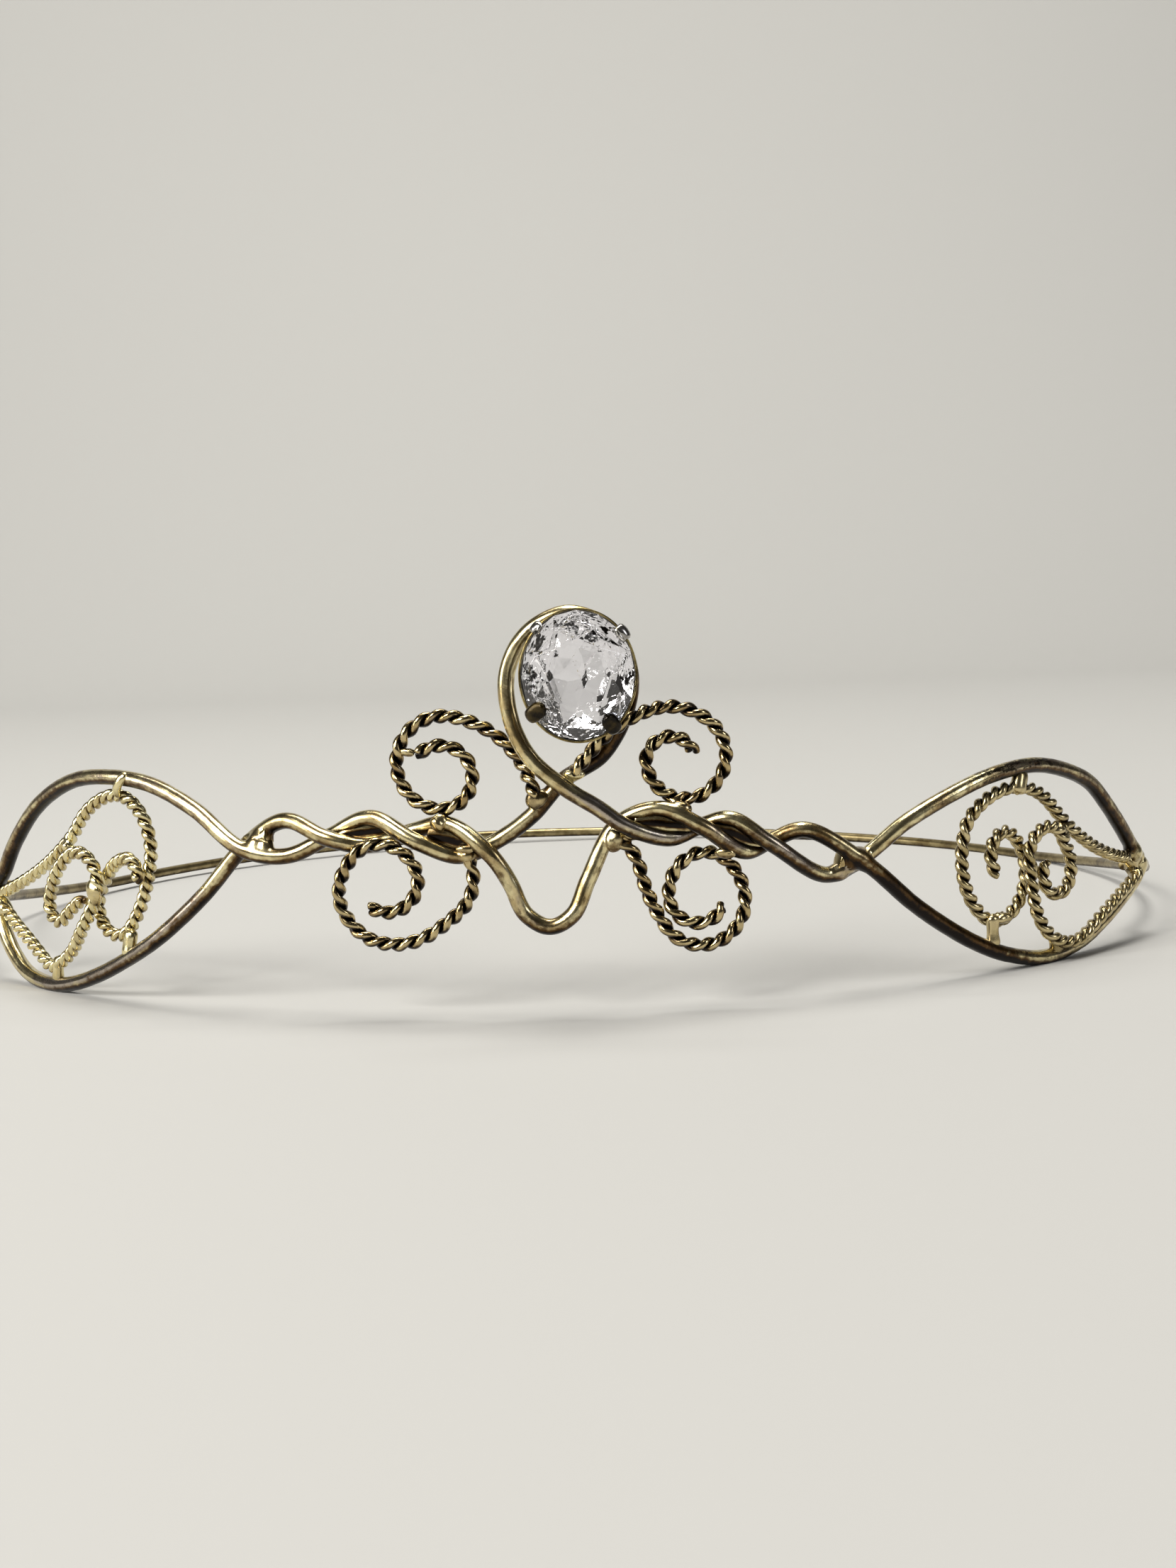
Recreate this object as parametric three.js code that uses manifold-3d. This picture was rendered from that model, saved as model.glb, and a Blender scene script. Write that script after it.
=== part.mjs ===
// Wire tiara: two long wires twisted into a band with an open eye at each side,
// a loop that carries a clear oval stone, twisted-wire scrolls and a thin back band.
// Millimetres, +Z up, standing on both eyes and the back band, the stone towards -Y.
import * as THREE from "three";
import Module from "manifold-3d";

const wasm = await Module();
wasm.setup();
const { Manifold, Mesh } = wasm;

// Driving sizes
const ringRadius = 93;
const mainWire = 2.0;
const ropeWire = 1.8;
const bandWire = 1.6;
const gap = 0.3;
const footCut = 0.15;

// Back band in plan: an ellipse a little narrower than the ring, from behind one tip to the other
const bandInset = 6;
const bandHalfWidth = ringRadius - bandInset;
const bandHalfDepth = 88;
const bandFallLength = 85;
const bandFallPower = 1.55;
const tipOverlap = 0.5;
const bandBackRise = 0.6;
const bandLeftLift = 1.0;

// Stone and setting
const stoneWidth = 13.2;
const stoneHeight = 15.1;
const stoneCrown = 2.3;
const stoneGirdle = 0.5;
const stonePavilion = 4.2;
const stoneTable = 0.56;
const stonePlace = { s: 2.5, h: 40.8, lean: 4 };
const collarWall = 0.45;
const collarHeight = 1.4;
const collarShare = 0.92;
const collarDrop = 2.3;
const settingStand = 1.0;
const clawWire = 1.0;
const clawReach = 1.7;
const clawAngles = { standing: [38, 132], hanging: [217, 307] };

// How finely the wires are drawn
const mainSides = 8;
const ropeSides = 6;
const mainStep = 2.1;
const ropeStep = 1.75;
const bandStep = 5;

const rad = THREE.MathUtils.degToRad;
const mainRadius = mainWire / 2;
const ropeRadius = ropeWire / 2;
const bandRadius = bandWire / 2;
const front = (mainWire + gap) / 2;
const behind = -front;
const restHeight = mainRadius - footCut - 0.08;
const bandRest = bandRadius - footCut - 0.06;

// Flat layout: s runs along the ring from its front, h is the height, w is outward from the ring
function onRing(s, h, w) {
  const angle = s / ringRadius;
  const radius = ringRadius + w;
  return new THREE.Vector3(radius * Math.sin(angle), -radius * Math.cos(angle), h);
}

function smooth(points) {
  return new THREE.CatmullRomCurve3(points, false, "centripetal");
}

// Where the two long wires cross, and the highest or lowest point of each wave between
const leftTip = [-93.6, 12.1];
const rightTip = [94.6, 9.5];
const cornerLeft = [-40.3, 20.4];
const cornerRight = [37.5, 16.5];
const cornerShift = 0.7;

const loopWireRoute = [
  [-91.9, 13.0, 0], [-89.4, 14.6, 0], [-84.8, 19.1, 0], [-77.4, 24.6, 0], [-68.9, 28.1, 0],
  [-61.3, 28.8, 0], [-54.2, 28.0, 0], [-47.0, 25.1, 0.4],
  [cornerLeft[0] + cornerShift, cornerLeft[1], front],
  [-34.2, 19.6, 0], [-28.9, 21.9, behind], [-23.0, 24.2, 0], [-17.1, 21.4, front + 0.1],
  [-12.3, 19.5, 0], [-7.8, 21.1, behind - 0.2], [-3.4, 24.1, -1.0], [0.3, 28.0, behind],
  [5.2, 31.0, -0.9], [8.2, 36.0, -0.5], [8.8, 40.6, 0], [7.0, 45.2, 0], [2.0, 47.9, 0],
  [-3.0, 45.9, 0], [-5.7, 41.4, 0], [-5.6, 36.1, 0.3], [-3.5, 31.2, 0.8], [0.4, 27.5, front],
  [4.4, 24.8, 1.1], [7.4, 22.6, front], [12.8, 20.7, 0], [16.9, 21.8, behind - 0.1],
  [20.4, 22.6, 0], [24.9, 19.5, front + 0.2], [32.4, 15.0, 0],
  [cornerRight[0] + cornerShift, cornerRight[1], behind],
  [44.4, 20.6, -0.4], [55.0, 24.6, 0], [62.4, 25.8, 0], [67.3, 25.7, 0], [73.2, 24.4, 0],
  [78.4, 22.4, 0], [82.8, 19.2, 0], [87.1, 15.7, 0], [90.3, 13.0, 0], [93.0, 10.9, 0],
];

const dipWireRoute = [
  [leftTip[0], leftTip[1] + 0.5, 0], [-92.4, 9.6, 0], [-90.6, 6.8, 0], [-87.5, 3.9, 0],
  [-83.4, 1.7, 0], [-77.0, restHeight, 0], [-71.6, 1.4, 0], [-65.8, 3.1, 0], [-59.8, 5.7, 0],
  [-54.1, 8.8, 0], [-46.9, 14.4, -0.5], [cornerLeft[0] - cornerShift, cornerLeft[1], behind],
  [-34.2, 23.9, 0],
  [-28.3, 21.9, front], [-24.0, 20.9, 0], [-18.3, 22.4, behind - 0.1], [-13.6, 23.3, -0.2],
  [-8.6, 19.9, front + 0.2], [-6.4, 16.4, 0.6], [-4.6, 12.3, 0], [-1.8, 10.7, 0], [1.0, 12.1, 0],
  [3.0, 16.2, -0.6], [6.6, 22.4, behind], [11.6, 24.3, 0], [16.6, 22.0, front + 0.1],
  [22.0, 18.6, 0], [25.9, 19.5, behind - 0.2], [29.8, 20.7, 0],
  [cornerRight[0] - cornerShift, cornerRight[1], front],
  [44.4, 10.4, 0.4], [49.4, 7.1, 0], [54.4, 4.3, 0], [60.0, 2.1, 0], [67.5, restHeight, 0],
  [75.1, 1.7, 0], [80.5, 3.4, 0], [86.3, 5.6, 0], [91.8, 7.8, 0], [94.9, 9.7, 0],
];

// Twisted-wire scrolls: start place and heading, then bends as [length, turn in degrees],
// and the depth at shares of the length
const scrolls = {
  scroll_upper_left: {
    start: [-3.0, 26.9], heading: 116,
    bends: [[2.5, -2], [11.1, 52], [6.9, 66], [8.6, 89], [4.4, 51], [5.9, 88], [8.3, 127]],
    depth: [[0, 0.5], [0.08, -1.5], [0.16, -1.2], [0.28, 0], [0.66, -0.4], [0.85, 0], [1, 0.4]],
  },
  scroll_upper_right: {
    start: [2.3, 29.9], heading: 49,
    bends: [[4.1, -3], [7.7, -38], [7.2, -52], [10.1, -108], [1.3, -23], [7.3, -79], [9.2, -178]],
    depth: [[0, 1.1], [0.06, 1.0], [0.16, 1.9], [0.3, 0], [0.5, 0], [0.66, -1.2], [0.8, 0], [1, 0]],
  },
  scroll_lower_left: {
    start: [-10.9, 18.2], heading: -76,
    bends: [[6.2, -64], [4.1, -8], [7.3, -48], [7.6, -82], [5.3, -33], [12, -161], [7.2, -101]],
    depth: [[0, 0], [0.4, 0], [0.56, 2.3], [0.72, 2.3], [0.86, 1.0], [1, 0.6]],
  },
  scroll_lower_right: {
    start: [7.9, 19.8], heading: -47,
    bends: [[2.8, -32], [7.9, 22], [9.9, 106], [9.5, 95], [8.1, 107], [1.3, 7], [10.1, 166]],
    depth: [[0, 0], [0.44, 0], [0.6, -1.6], [0.74, -0.6], [1, 0]],
  },
  right_eye_outer_scroll: {
    start: [88.4, 11.3], heading: 171,
    bends: [[7.1, -10], [14.4, -24], [16.3, 84], [2.6, 32], [13.5, 76], [1.7, 32],
      [15.1, 146], [8.8, 166]],
    depth: [[0, 0], [0.5, 0], [0.72, -1.0], [0.86, -1.0], [1, 0]],
  },
  right_eye_inner_scroll: {
    start: [88.7, 8.4], heading: -169,
    bends: [[2.8, 7], [6.2, 4], [5.9, 4], [14.6, -107], [4.2, 1], [10.8, -153], [2.7, 11], [14.2, -256]],
    depth: [[0, 1.3], [0.16, 1.5], [0.42, 1.5], [0.68, 1.2], [0.82, 0.3], [1, 0.5]],
  },
  left_eye_outer_scroll: {
    start: [-87.9, 12.4], heading: 16,
    bends: [[18.1, 19], [2.9, 15], [8.7, -40], [12.5, -116], [10.7, -27], [10, -164],
      [9.5, -55], [4.6, -105]],
    depth: [[0, 0], [0.18, -0.7], [0.34, -0.7], [0.5, 0], [0.68, -1.0], [0.84, -1.0], [1, 1.6]],
  },
  left_eye_inner_scroll: {
    start: [-88.6, 9.2], heading: -29,
    bends: [[5, 5], [7, -8], [3.1, 57], [14.8, 34], [10.5, 158], [8, 18], [5.7, 165], [5.5, -13]],
    depth: [[0, 0], [0.3, 0], [0.44, 1.2], [0.7, 1.2], [0.85, 0.3], [1, 0.3]],
  },
};

function bentWire({ start, heading, bends, depth }) {
  const total = bends.reduce((sum, [length]) => sum + length, 0);
  const points = [];
  let [s, h] = start;
  let angle = rad(heading);
  let run = 0;
  points.push(onRing(s, h, depthAt(depth, 0)));
  for (const [length, turn] of bends) {
    const steps = Math.ceil(length / 0.8);
    for (let i = 0; i < steps; i++) {
      const middle = angle + (rad(turn) * (i + 0.5)) / steps;
      s += (length / steps) * Math.cos(middle);
      h += (length / steps) * Math.sin(middle);
      run += length / steps;
      points.push(onRing(s, h, depthAt(depth, run / total)));
    }
    angle += rad(turn);
  }
  return smooth(points);
}

// Depth between two stops, eased at both
function depthAt(stops, share) {
  const next = Math.max(1, stops.findIndex(([at]) => at >= Math.min(share, 1)));
  const [from, before] = stops[next - 1];
  const [to, after] = stops[next];
  return before + (after - before) * THREE.MathUtils.smoothstep(share, from, to);
}

function stationWire(stations) {
  const flat = smooth(stations.map(([s, h, w]) => new THREE.Vector3(s, h, w)));
  const count = Math.ceil(flat.getLength());
  const points = flat.getSpacedPoints(count).map((p) => onRing(p.x, p.y, p.z));
  return smooth(points);
}

function bandRoute() {
  const points = [];
  const reach = (rightTip[0] - leftTip[0]) / 2 - tipOverlap;
  const root = onRing(reach, 0, -(mainRadius + gap + bandRadius));
  const first = Math.asin(root.x / bandHalfWidth);
  const centreY = root.y + bandHalfDepth * Math.cos(first);
  const last = 2 * Math.PI - first;
  const steps = Math.ceil(2 * Math.PI * ringRadius / bandStep);
  const mean = (bandHalfWidth + bandHalfDepth) / 2;
  for (let i = 0; i <= steps; i++) {
    const angle = first + ((last - first) * i) / steps;
    const tip = angle < Math.PI ? rightTip[1] : leftTip[1];
    const run = mean * Math.min(angle - first, last - angle);
    const fall = Math.max(0, 1 - run / bandFallLength) ** bandFallPower;
    const back = Math.max(0, Math.cos(1.5 * (angle - Math.PI))) ** 2;
    const rise = Math.abs(angle - Math.PI) < Math.PI / 3 ? bandBackRise * back : 0;
    const lift = bandLeftLift * THREE.MathUtils.smoothstep(angle, 0.8 * Math.PI, 1.25 * Math.PI);
    const height = bandRest + lift + rise;
    const x = bandHalfWidth * Math.sin(angle);
    const y = centreY - bandHalfDepth * Math.cos(angle);
    points.push(new THREE.Vector3(x, y, height + (tip - height) * fall));
  }
  return smooth(points);
}

function wireAlong(route, radius, sides, step) {
  const outline = [];
  for (let i = 0; i < sides; i++) {
    const angle = ((i + 0.5) * 2 * Math.PI) / sides;
    outline.push(new THREE.Vector2(radius * Math.cos(angle), radius * Math.sin(angle)));
  }
  const steps = Math.ceil(route.getLength() / step);
  const shape = new THREE.Shape(outline);
  return new THREE.ExtrudeGeometry(shape, { steps, extrudePath: route, bevelEnabled: false });
}

// Solids for joining and cutting
function toSolid(geometry) {
  const position = geometry.attributes.position;
  const keys = new Map();
  const corners = [];
  const verts = [];
  for (let i = 0; i < position.count; i++) {
    const point = [position.getX(i), position.getY(i), position.getZ(i)];
    const key = point.map((value) => Math.round(value * 1e4)).join();
    if (!keys.has(key)) {
      keys.set(key, corners.length / 3);
      corners.push(...point);
    }
    verts.push(keys.get(key));
  }
  const order = geometry.index ? Array.from(geometry.index.array, (i) => verts[i]) : verts;
  const faces = [];
  for (let i = 0; i < order.length; i += 3) {
    const [a, b, c] = order.slice(i, i + 3);
    if (a !== b && b !== c && a !== c) faces.push(a, b, c);
  }
  const mesh = new Mesh({
    numProp: 3,
    vertProperties: new Float32Array(corners),
    triVerts: new Uint32Array(faces),
  });
  return new Manifold(mesh);
}

function toGeometry(solid) {
  const mesh = solid.getMesh();
  const geometry = new THREE.BufferGeometry();
  const place = new Float32Array(mesh.vertProperties);
  geometry.setAttribute("position", new THREE.BufferAttribute(place, 3));
  geometry.setIndex(new THREE.BufferAttribute(new Uint32Array(mesh.triVerts), 1));
  const flat = geometry.toNonIndexed();
  flat.computeVertexNormals();
  return flat;
}

// Everything under the table plane is worn away, which leaves the flats that it stands on
function wornFlat(geometry) {
  const size = 4 * ringRadius;
  const under = new THREE.BoxGeometry(size, size, size).translate(0, 0, -size / 2);
  return toGeometry(Manifold.difference(toSolid(geometry), toSolid(under)));
}

// Stone: rings of corners from the table down to the keel, seen in its own frame (x right, y up)
const stoneSides = 16;

function stoneRing(share, depth, turn) {
  const ring = [];
  for (let i = 0; i < stoneSides; i++) {
    const angle = ((i + turn) * 2 * Math.PI) / stoneSides;
    const x = (share * stoneWidth * Math.cos(angle)) / 2;
    const y = (share * stoneHeight * Math.sin(angle)) / 2;
    ring.push([x, y, depth]);
  }
  return ring;
}

function stoneGeometry() {
  const rings = [
    stoneRing(stoneTable, stoneCrown, 0),
    stoneRing(0.84, 0.55 * stoneCrown, 0.5),
    stoneRing(1, 0, 0),
    stoneRing(1, -stoneGirdle, 0),
    stoneRing(0.6, -stoneGirdle - 0.52 * stonePavilion, 0.5),
  ];
  const keel = -stoneGirdle - stonePavilion;
  const place = [...rings.flat(), [0, 0, stoneCrown], [0, 0, keel]].flat();
  const faces = [];
  const top = rings.length * stoneSides;
  for (let i = 0; i < stoneSides; i++) {
    const next = (i + 1) % stoneSides;
    faces.push(top, i, next);
    for (let r = 0; r + 1 < rings.length; r++) {
      const upper = r * stoneSides;
      const lower = upper + stoneSides;
      if (r === 1) faces.push(upper + i, lower + i, lower + next, upper + i, lower + next, upper + next);
      if (r !== 1) faces.push(upper + i, lower + i, upper + next, upper + next, lower + i, lower + next);
    }
    const last = (rings.length - 1) * stoneSides;
    faces.push(last + next, last + i, top + 1);
  }
  const geometry = new THREE.BufferGeometry();
  geometry.setAttribute("position", new THREE.Float32BufferAttribute(place, 3));
  geometry.setIndex(faces);
  return geometry;
}

// Collar: a low oval wall under the girdle, and four claws bent over the crown
function collarGeometry() {
  const outer = collarShare / 2;
  const sides = 28;
  const base = -stoneGirdle - collarDrop;
  const place = [];
  const faces = [];
  const profile = [[0, 0], [collarWall, 0], [collarWall, collarHeight], [0, collarHeight]];
  for (let i = 0; i < sides; i++) {
    const angle = (i * 2 * Math.PI) / sides;
    for (const [out, up] of profile) {
      const x = (outer * stoneWidth + out) * Math.cos(angle);
      const y = (outer * stoneHeight + out) * Math.sin(angle);
      place.push(x, y, base + up);
    }
    for (let k = 0; k < 4; k++) {
      const a = i * 4 + k;
      const b = i * 4 + ((k + 1) % 4);
      const c = ((i + 1) % sides) * 4 + k;
      const d = ((i + 1) % sides) * 4 + ((k + 1) % 4);
      faces.push(a, c, b, b, c, d);
    }
  }
  const geometry = new THREE.BufferGeometry();
  geometry.setAttribute("position", new THREE.Float32BufferAttribute(place, 3));
  geometry.setIndex(faces);
  return geometry;
}

function clawGeometry(degrees, rootDepth) {
  const angle = rad(degrees);
  const along = (share, out, depth) => new THREE.Vector3(
    (share * stoneWidth / 2 + out) * Math.cos(angle),
    (share * stoneHeight / 2 + out) * Math.sin(angle),
    depth,
  );
  const clear = gap + clawWire / 2;
  const route = smooth([
    along(collarShare, collarWall, rootDepth),
    along(collarShare, collarWall, -stoneGirdle - collarDrop + 0.6),
    along(1, clear, -stoneGirdle - 0.6),
    along(1, clear + 0.1, 0.2),
    along(0.93, clear, 0.25 * stoneCrown + 0.6),
    along(1, -clawReach, 0.55 * stoneCrown + 1.35),
  ]);
  return wireAlong(route, clawWire / 2, 6, 1.1);
}

function placeStonePart(geometry) {
  const { s, h, lean } = stonePlace;
  const depth = mainRadius + gap + settingStand + collarDrop + stoneGirdle;
  const centre = onRing(s, h, depth);
  return geometry
    .rotateX(rad(90 - lean))
    .rotateZ(s / ringRadius)
    .translate(centre.x, centre.y, centre.z);
}

function settingGeometry() {
  const hanging = -stoneGirdle - collarDrop + 0.1;
  const standing = hanging - settingStand + 0.35;
  const claws = [
    ...clawAngles.hanging.map((degrees) => clawGeometry(degrees, hanging)),
    ...clawAngles.standing.map((degrees) => clawGeometry(degrees, standing)),
  ];
  const solid = Manifold.union([collarGeometry(), ...claws].map(toSolid));
  return placeStonePart(toGeometry(solid));
}

const finishes = {
  wire: { color: "#b9a76f", metalness: 1, roughness: 0.34 },
  rope: { color: "#a8955c", metalness: 1, roughness: 0.38 },
  setting: { color: "#a08a50", metalness: 1, roughness: 0.3 },
  stone: { color: "#eef0f2", metalness: 0, roughness: 0.03, transparent: true, opacity: 0.5 },
};

function piece(name, geometry, finish) {
  const mesh = new THREE.Mesh(geometry, new THREE.MeshStandardMaterial(finishes[finish]));
  mesh.name = name;
  return mesh;
}

const tiara = new THREE.Group();
tiara.name = "tiara";

const loopWire = wireAlong(stationWire(loopWireRoute), mainRadius, mainSides, mainStep);
const dipWire = wireAlong(stationWire(dipWireRoute), mainRadius, mainSides, mainStep);
const backBand = wireAlong(bandRoute(), bandRadius, mainSides, bandStep);
tiara.add(piece("loop_wire", loopWire, "wire"));
tiara.add(piece("dip_wire", wornFlat(dipWire), "wire"));
tiara.add(piece("back_band", wornFlat(backBand), "wire"));
for (const [name, scroll] of Object.entries(scrolls)) {
  const geometry = wireAlong(bentWire(scroll), ropeRadius, ropeSides, ropeStep);
  tiara.add(piece(name, geometry, "rope"));
}
tiara.add(piece("stone_setting", settingGeometry(), "setting"));
tiara.add(piece("stone", placeStonePart(stoneGeometry()), "stone"));

// The origin is the middle of the footprint
const middle = new THREE.Box3().setFromObject(tiara).getCenter(new THREE.Vector3());
for (const mesh of tiara.children) mesh.geometry.translate(-middle.x, -middle.y, 0);

export default tiara;
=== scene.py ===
import math

import bmesh
import bpy
import numpy as np
from mathutils import Matrix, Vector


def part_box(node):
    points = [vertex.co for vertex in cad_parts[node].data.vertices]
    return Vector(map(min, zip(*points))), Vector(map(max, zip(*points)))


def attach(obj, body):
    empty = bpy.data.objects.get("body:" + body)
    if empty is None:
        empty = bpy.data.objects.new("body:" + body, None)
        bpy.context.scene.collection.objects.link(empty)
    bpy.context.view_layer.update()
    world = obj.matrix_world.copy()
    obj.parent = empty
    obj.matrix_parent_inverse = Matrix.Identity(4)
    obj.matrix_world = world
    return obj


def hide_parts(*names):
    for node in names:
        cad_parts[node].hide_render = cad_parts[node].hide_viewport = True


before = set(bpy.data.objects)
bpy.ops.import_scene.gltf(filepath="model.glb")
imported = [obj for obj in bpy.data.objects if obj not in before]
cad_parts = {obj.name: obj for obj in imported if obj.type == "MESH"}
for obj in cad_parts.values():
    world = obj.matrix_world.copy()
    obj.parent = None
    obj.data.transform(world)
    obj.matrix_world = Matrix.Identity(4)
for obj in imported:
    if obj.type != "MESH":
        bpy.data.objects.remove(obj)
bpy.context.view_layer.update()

MM = 0.001
PER_METRE = 1000

# Sizes of the tiara in millimetres, as in the part's own source. Only the strands are this
# script's own: two of them laid together are as wide as the source's round wire of 1.8 mm.
RING_RADIUS = 93.0
MAIN_WIRE = 2.0
STRAND_WIRE = 0.94
STRAND_OFFSET = 0.43
BAND_WIRE = 1.6
GAP = 0.3
FOOT_CUT = 0.15
MAIN_FLAT_INSET = 0.08
BAND_FLAT_INSET = 0.06
BAND_INSET = 6.0
BAND_HALF_DEPTH = 88.0
BAND_FALL_LENGTH = 85.0
BAND_FALL_POWER = 1.55
TIP_OVERLAP = 0.5
BAND_BACK_RISE = 0.6
BAND_LEFT_LIFT = 1.0
STONE_WIDTH = 13.2
STONE_HEIGHT = 15.1
STONE_CROWN = 2.3
STONE_GIRDLE = 0.5
STONE_PAVILION = 4.2
STONE_TABLE = 0.56
STONE_S = 2.5
STONE_H = 40.8
STONE_LEAN = 4.0
COLLAR_SHARE = 0.92
COLLAR_WALL = 0.45
COLLAR_DROP = 2.3
SETTING_STAND = 1.0

# Worked out from these. The source's wires have eight sides, whose flats lie inside the round
# wire by the flat insets, and they rest on the cut feet.
MAIN_RADIUS = MAIN_WIRE / 2
BAND_RADIUS = BAND_WIRE / 2
FRONT = (MAIN_WIRE + GAP) / 2
BEHIND = -FRONT
REST_HEIGHT = MAIN_RADIUS - FOOT_CUT - MAIN_FLAT_INSET
BAND_REST = BAND_RADIUS - FOOT_CUT - BAND_FLAT_INSET
LEFT_TIP = (-93.6, 12.1)
RIGHT_TIP = (94.6, 9.5)

# How finely the surfaces are drawn: steps along in millimetres, and sides of a section
MAIN_STEP = 0.3
MAIN_SIDES = 28
BAND_STEP = 0.9
BAND_SIDES = 20
STRAND_STEP = 0.16
STRAND_SIDES = 12
SMALL_STEP = 0.08
TAB_SIDES = 28
CLAW_SIDES = 24
SLIT_STEP = 0.15
SLIT_SIDES = 40
LUMP_ROWS = 22
LUMP_SIDES = 32

# How uneven hand work leaves each surface, as a share of its thickness
MAIN_RIPPLE = 0.022
BAND_RIPPLE = 0.02
STRAND_RIPPLE = 0.03
TAB_RIPPLE = 0.06
SLIT_RIPPLE = 0.1

# Marks on the brass and the ripple in the glass, in millimetres: lengthwise marks as length and
# width. Real pits and scratches are finer, and are drawn as coarse as they need to show.
PATCH_SIZE = 3.0
SPECKLE_SIZE = 0.7
PIT_SIZE = 0.25
STREAK_SIZE = (4.0, 0.6)
SCRATCH_SIZE = (2.2, 0.5)
MOULD_RIPPLE_SIZE = 1.8

# How the photograph was taken: angles in degrees, place in millimetres from the ring's middle,
# focal length and the picture's long side in pixels, sensor in millimetres
CAMERA_PITCH = 5.54
CAMERA_ROLL = -2.06
CAMERA_YAW = 0.07
CAMERA_PLACE = (2.99, -370.9, 54.58)
FOCAL_LENGTH_PIXELS = 3326
LONG_SIDE_PIXELS = 2212
SENSOR_SIZE = 36

# Long wires: places as [along the ring, height, outward], as the part's source has them
LOOP_WIRE_ROUTE = [
    [-91.9, 13.0, 0], [-89.4, 14.6, 0], [-84.8, 19.1, 0], [-77.4, 24.6, 0], [-68.9, 28.1, 0],
    [-61.3, 28.8, 0], [-54.2, 28.0, 0], [-47.0, 25.1, 0.4], [-39.6, 20.4, FRONT],
    [-34.2, 19.6, 0], [-28.9, 21.9, BEHIND], [-23.0, 24.2, 0], [-17.1, 21.4, FRONT + 0.1],
    [-12.3, 19.5, 0], [-7.8, 21.1, BEHIND - 0.2], [-3.4, 24.1, -1.0], [0.3, 28.0, BEHIND],
    [5.2, 31.0, -0.9], [8.2, 36.0, -0.5], [8.8, 40.6, 0], [7.0, 45.2, 0], [2.0, 47.9, 0],
    [-3.0, 45.9, 0], [-5.7, 41.4, 0], [-5.6, 36.1, 0.3], [-3.5, 31.2, 0.8], [0.4, 27.5, FRONT],
    [4.4, 24.8, 1.1], [7.4, 22.6, FRONT], [12.8, 20.7, 0], [16.9, 21.8, BEHIND - 0.1],
    [20.4, 22.6, 0], [24.9, 19.5, FRONT + 0.2], [32.4, 15.0, 0], [38.2, 16.5, BEHIND],
    [44.4, 20.6, -0.4], [55.0, 24.6, 0], [62.4, 25.8, 0], [67.3, 25.7, 0], [73.2, 24.4, 0],
    [78.4, 22.4, 0], [82.8, 19.2, 0], [87.1, 15.7, 0], [90.3, 13.0, 0], [93.0, 10.9, 0],
]

DIP_WIRE_ROUTE = [
    [-93.6, 12.6, 0], [-92.4, 9.6, 0], [-90.6, 6.8, 0], [-87.5, 3.9, 0], [-83.4, 1.7, 0],
    [-77.0, REST_HEIGHT, 0], [-71.6, 1.4, 0], [-65.8, 3.1, 0], [-59.8, 5.7, 0], [-54.1, 8.8, 0],
    [-46.9, 14.4, -0.5], [-41.0, 20.4, BEHIND], [-34.2, 23.9, 0], [-28.3, 21.9, FRONT],
    [-24.0, 20.9, 0], [-18.3, 22.4, BEHIND - 0.1], [-13.6, 23.3, -0.2], [-8.6, 19.9, FRONT + 0.2],
    [-6.4, 16.4, 0.6], [-4.6, 12.3, 0], [-1.8, 10.7, 0], [1.0, 12.1, 0], [3.0, 16.2, -0.6],
    [6.6, 22.4, BEHIND], [11.6, 24.3, 0], [16.6, 22.0, FRONT + 0.1], [22.0, 18.6, 0],
    [25.9, 19.5, BEHIND - 0.2], [29.8, 20.7, 0], [36.8, 16.5, FRONT], [44.4, 10.4, 0.4],
    [49.4, 7.1, 0], [54.4, 4.3, 0], [60.0, 2.1, 0], [67.5, REST_HEIGHT, 0], [75.1, 1.7, 0],
    [80.5, 3.4, 0], [86.3, 5.6, 0], [91.8, 7.8, 0], [94.9, 9.7, 0],
]

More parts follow.
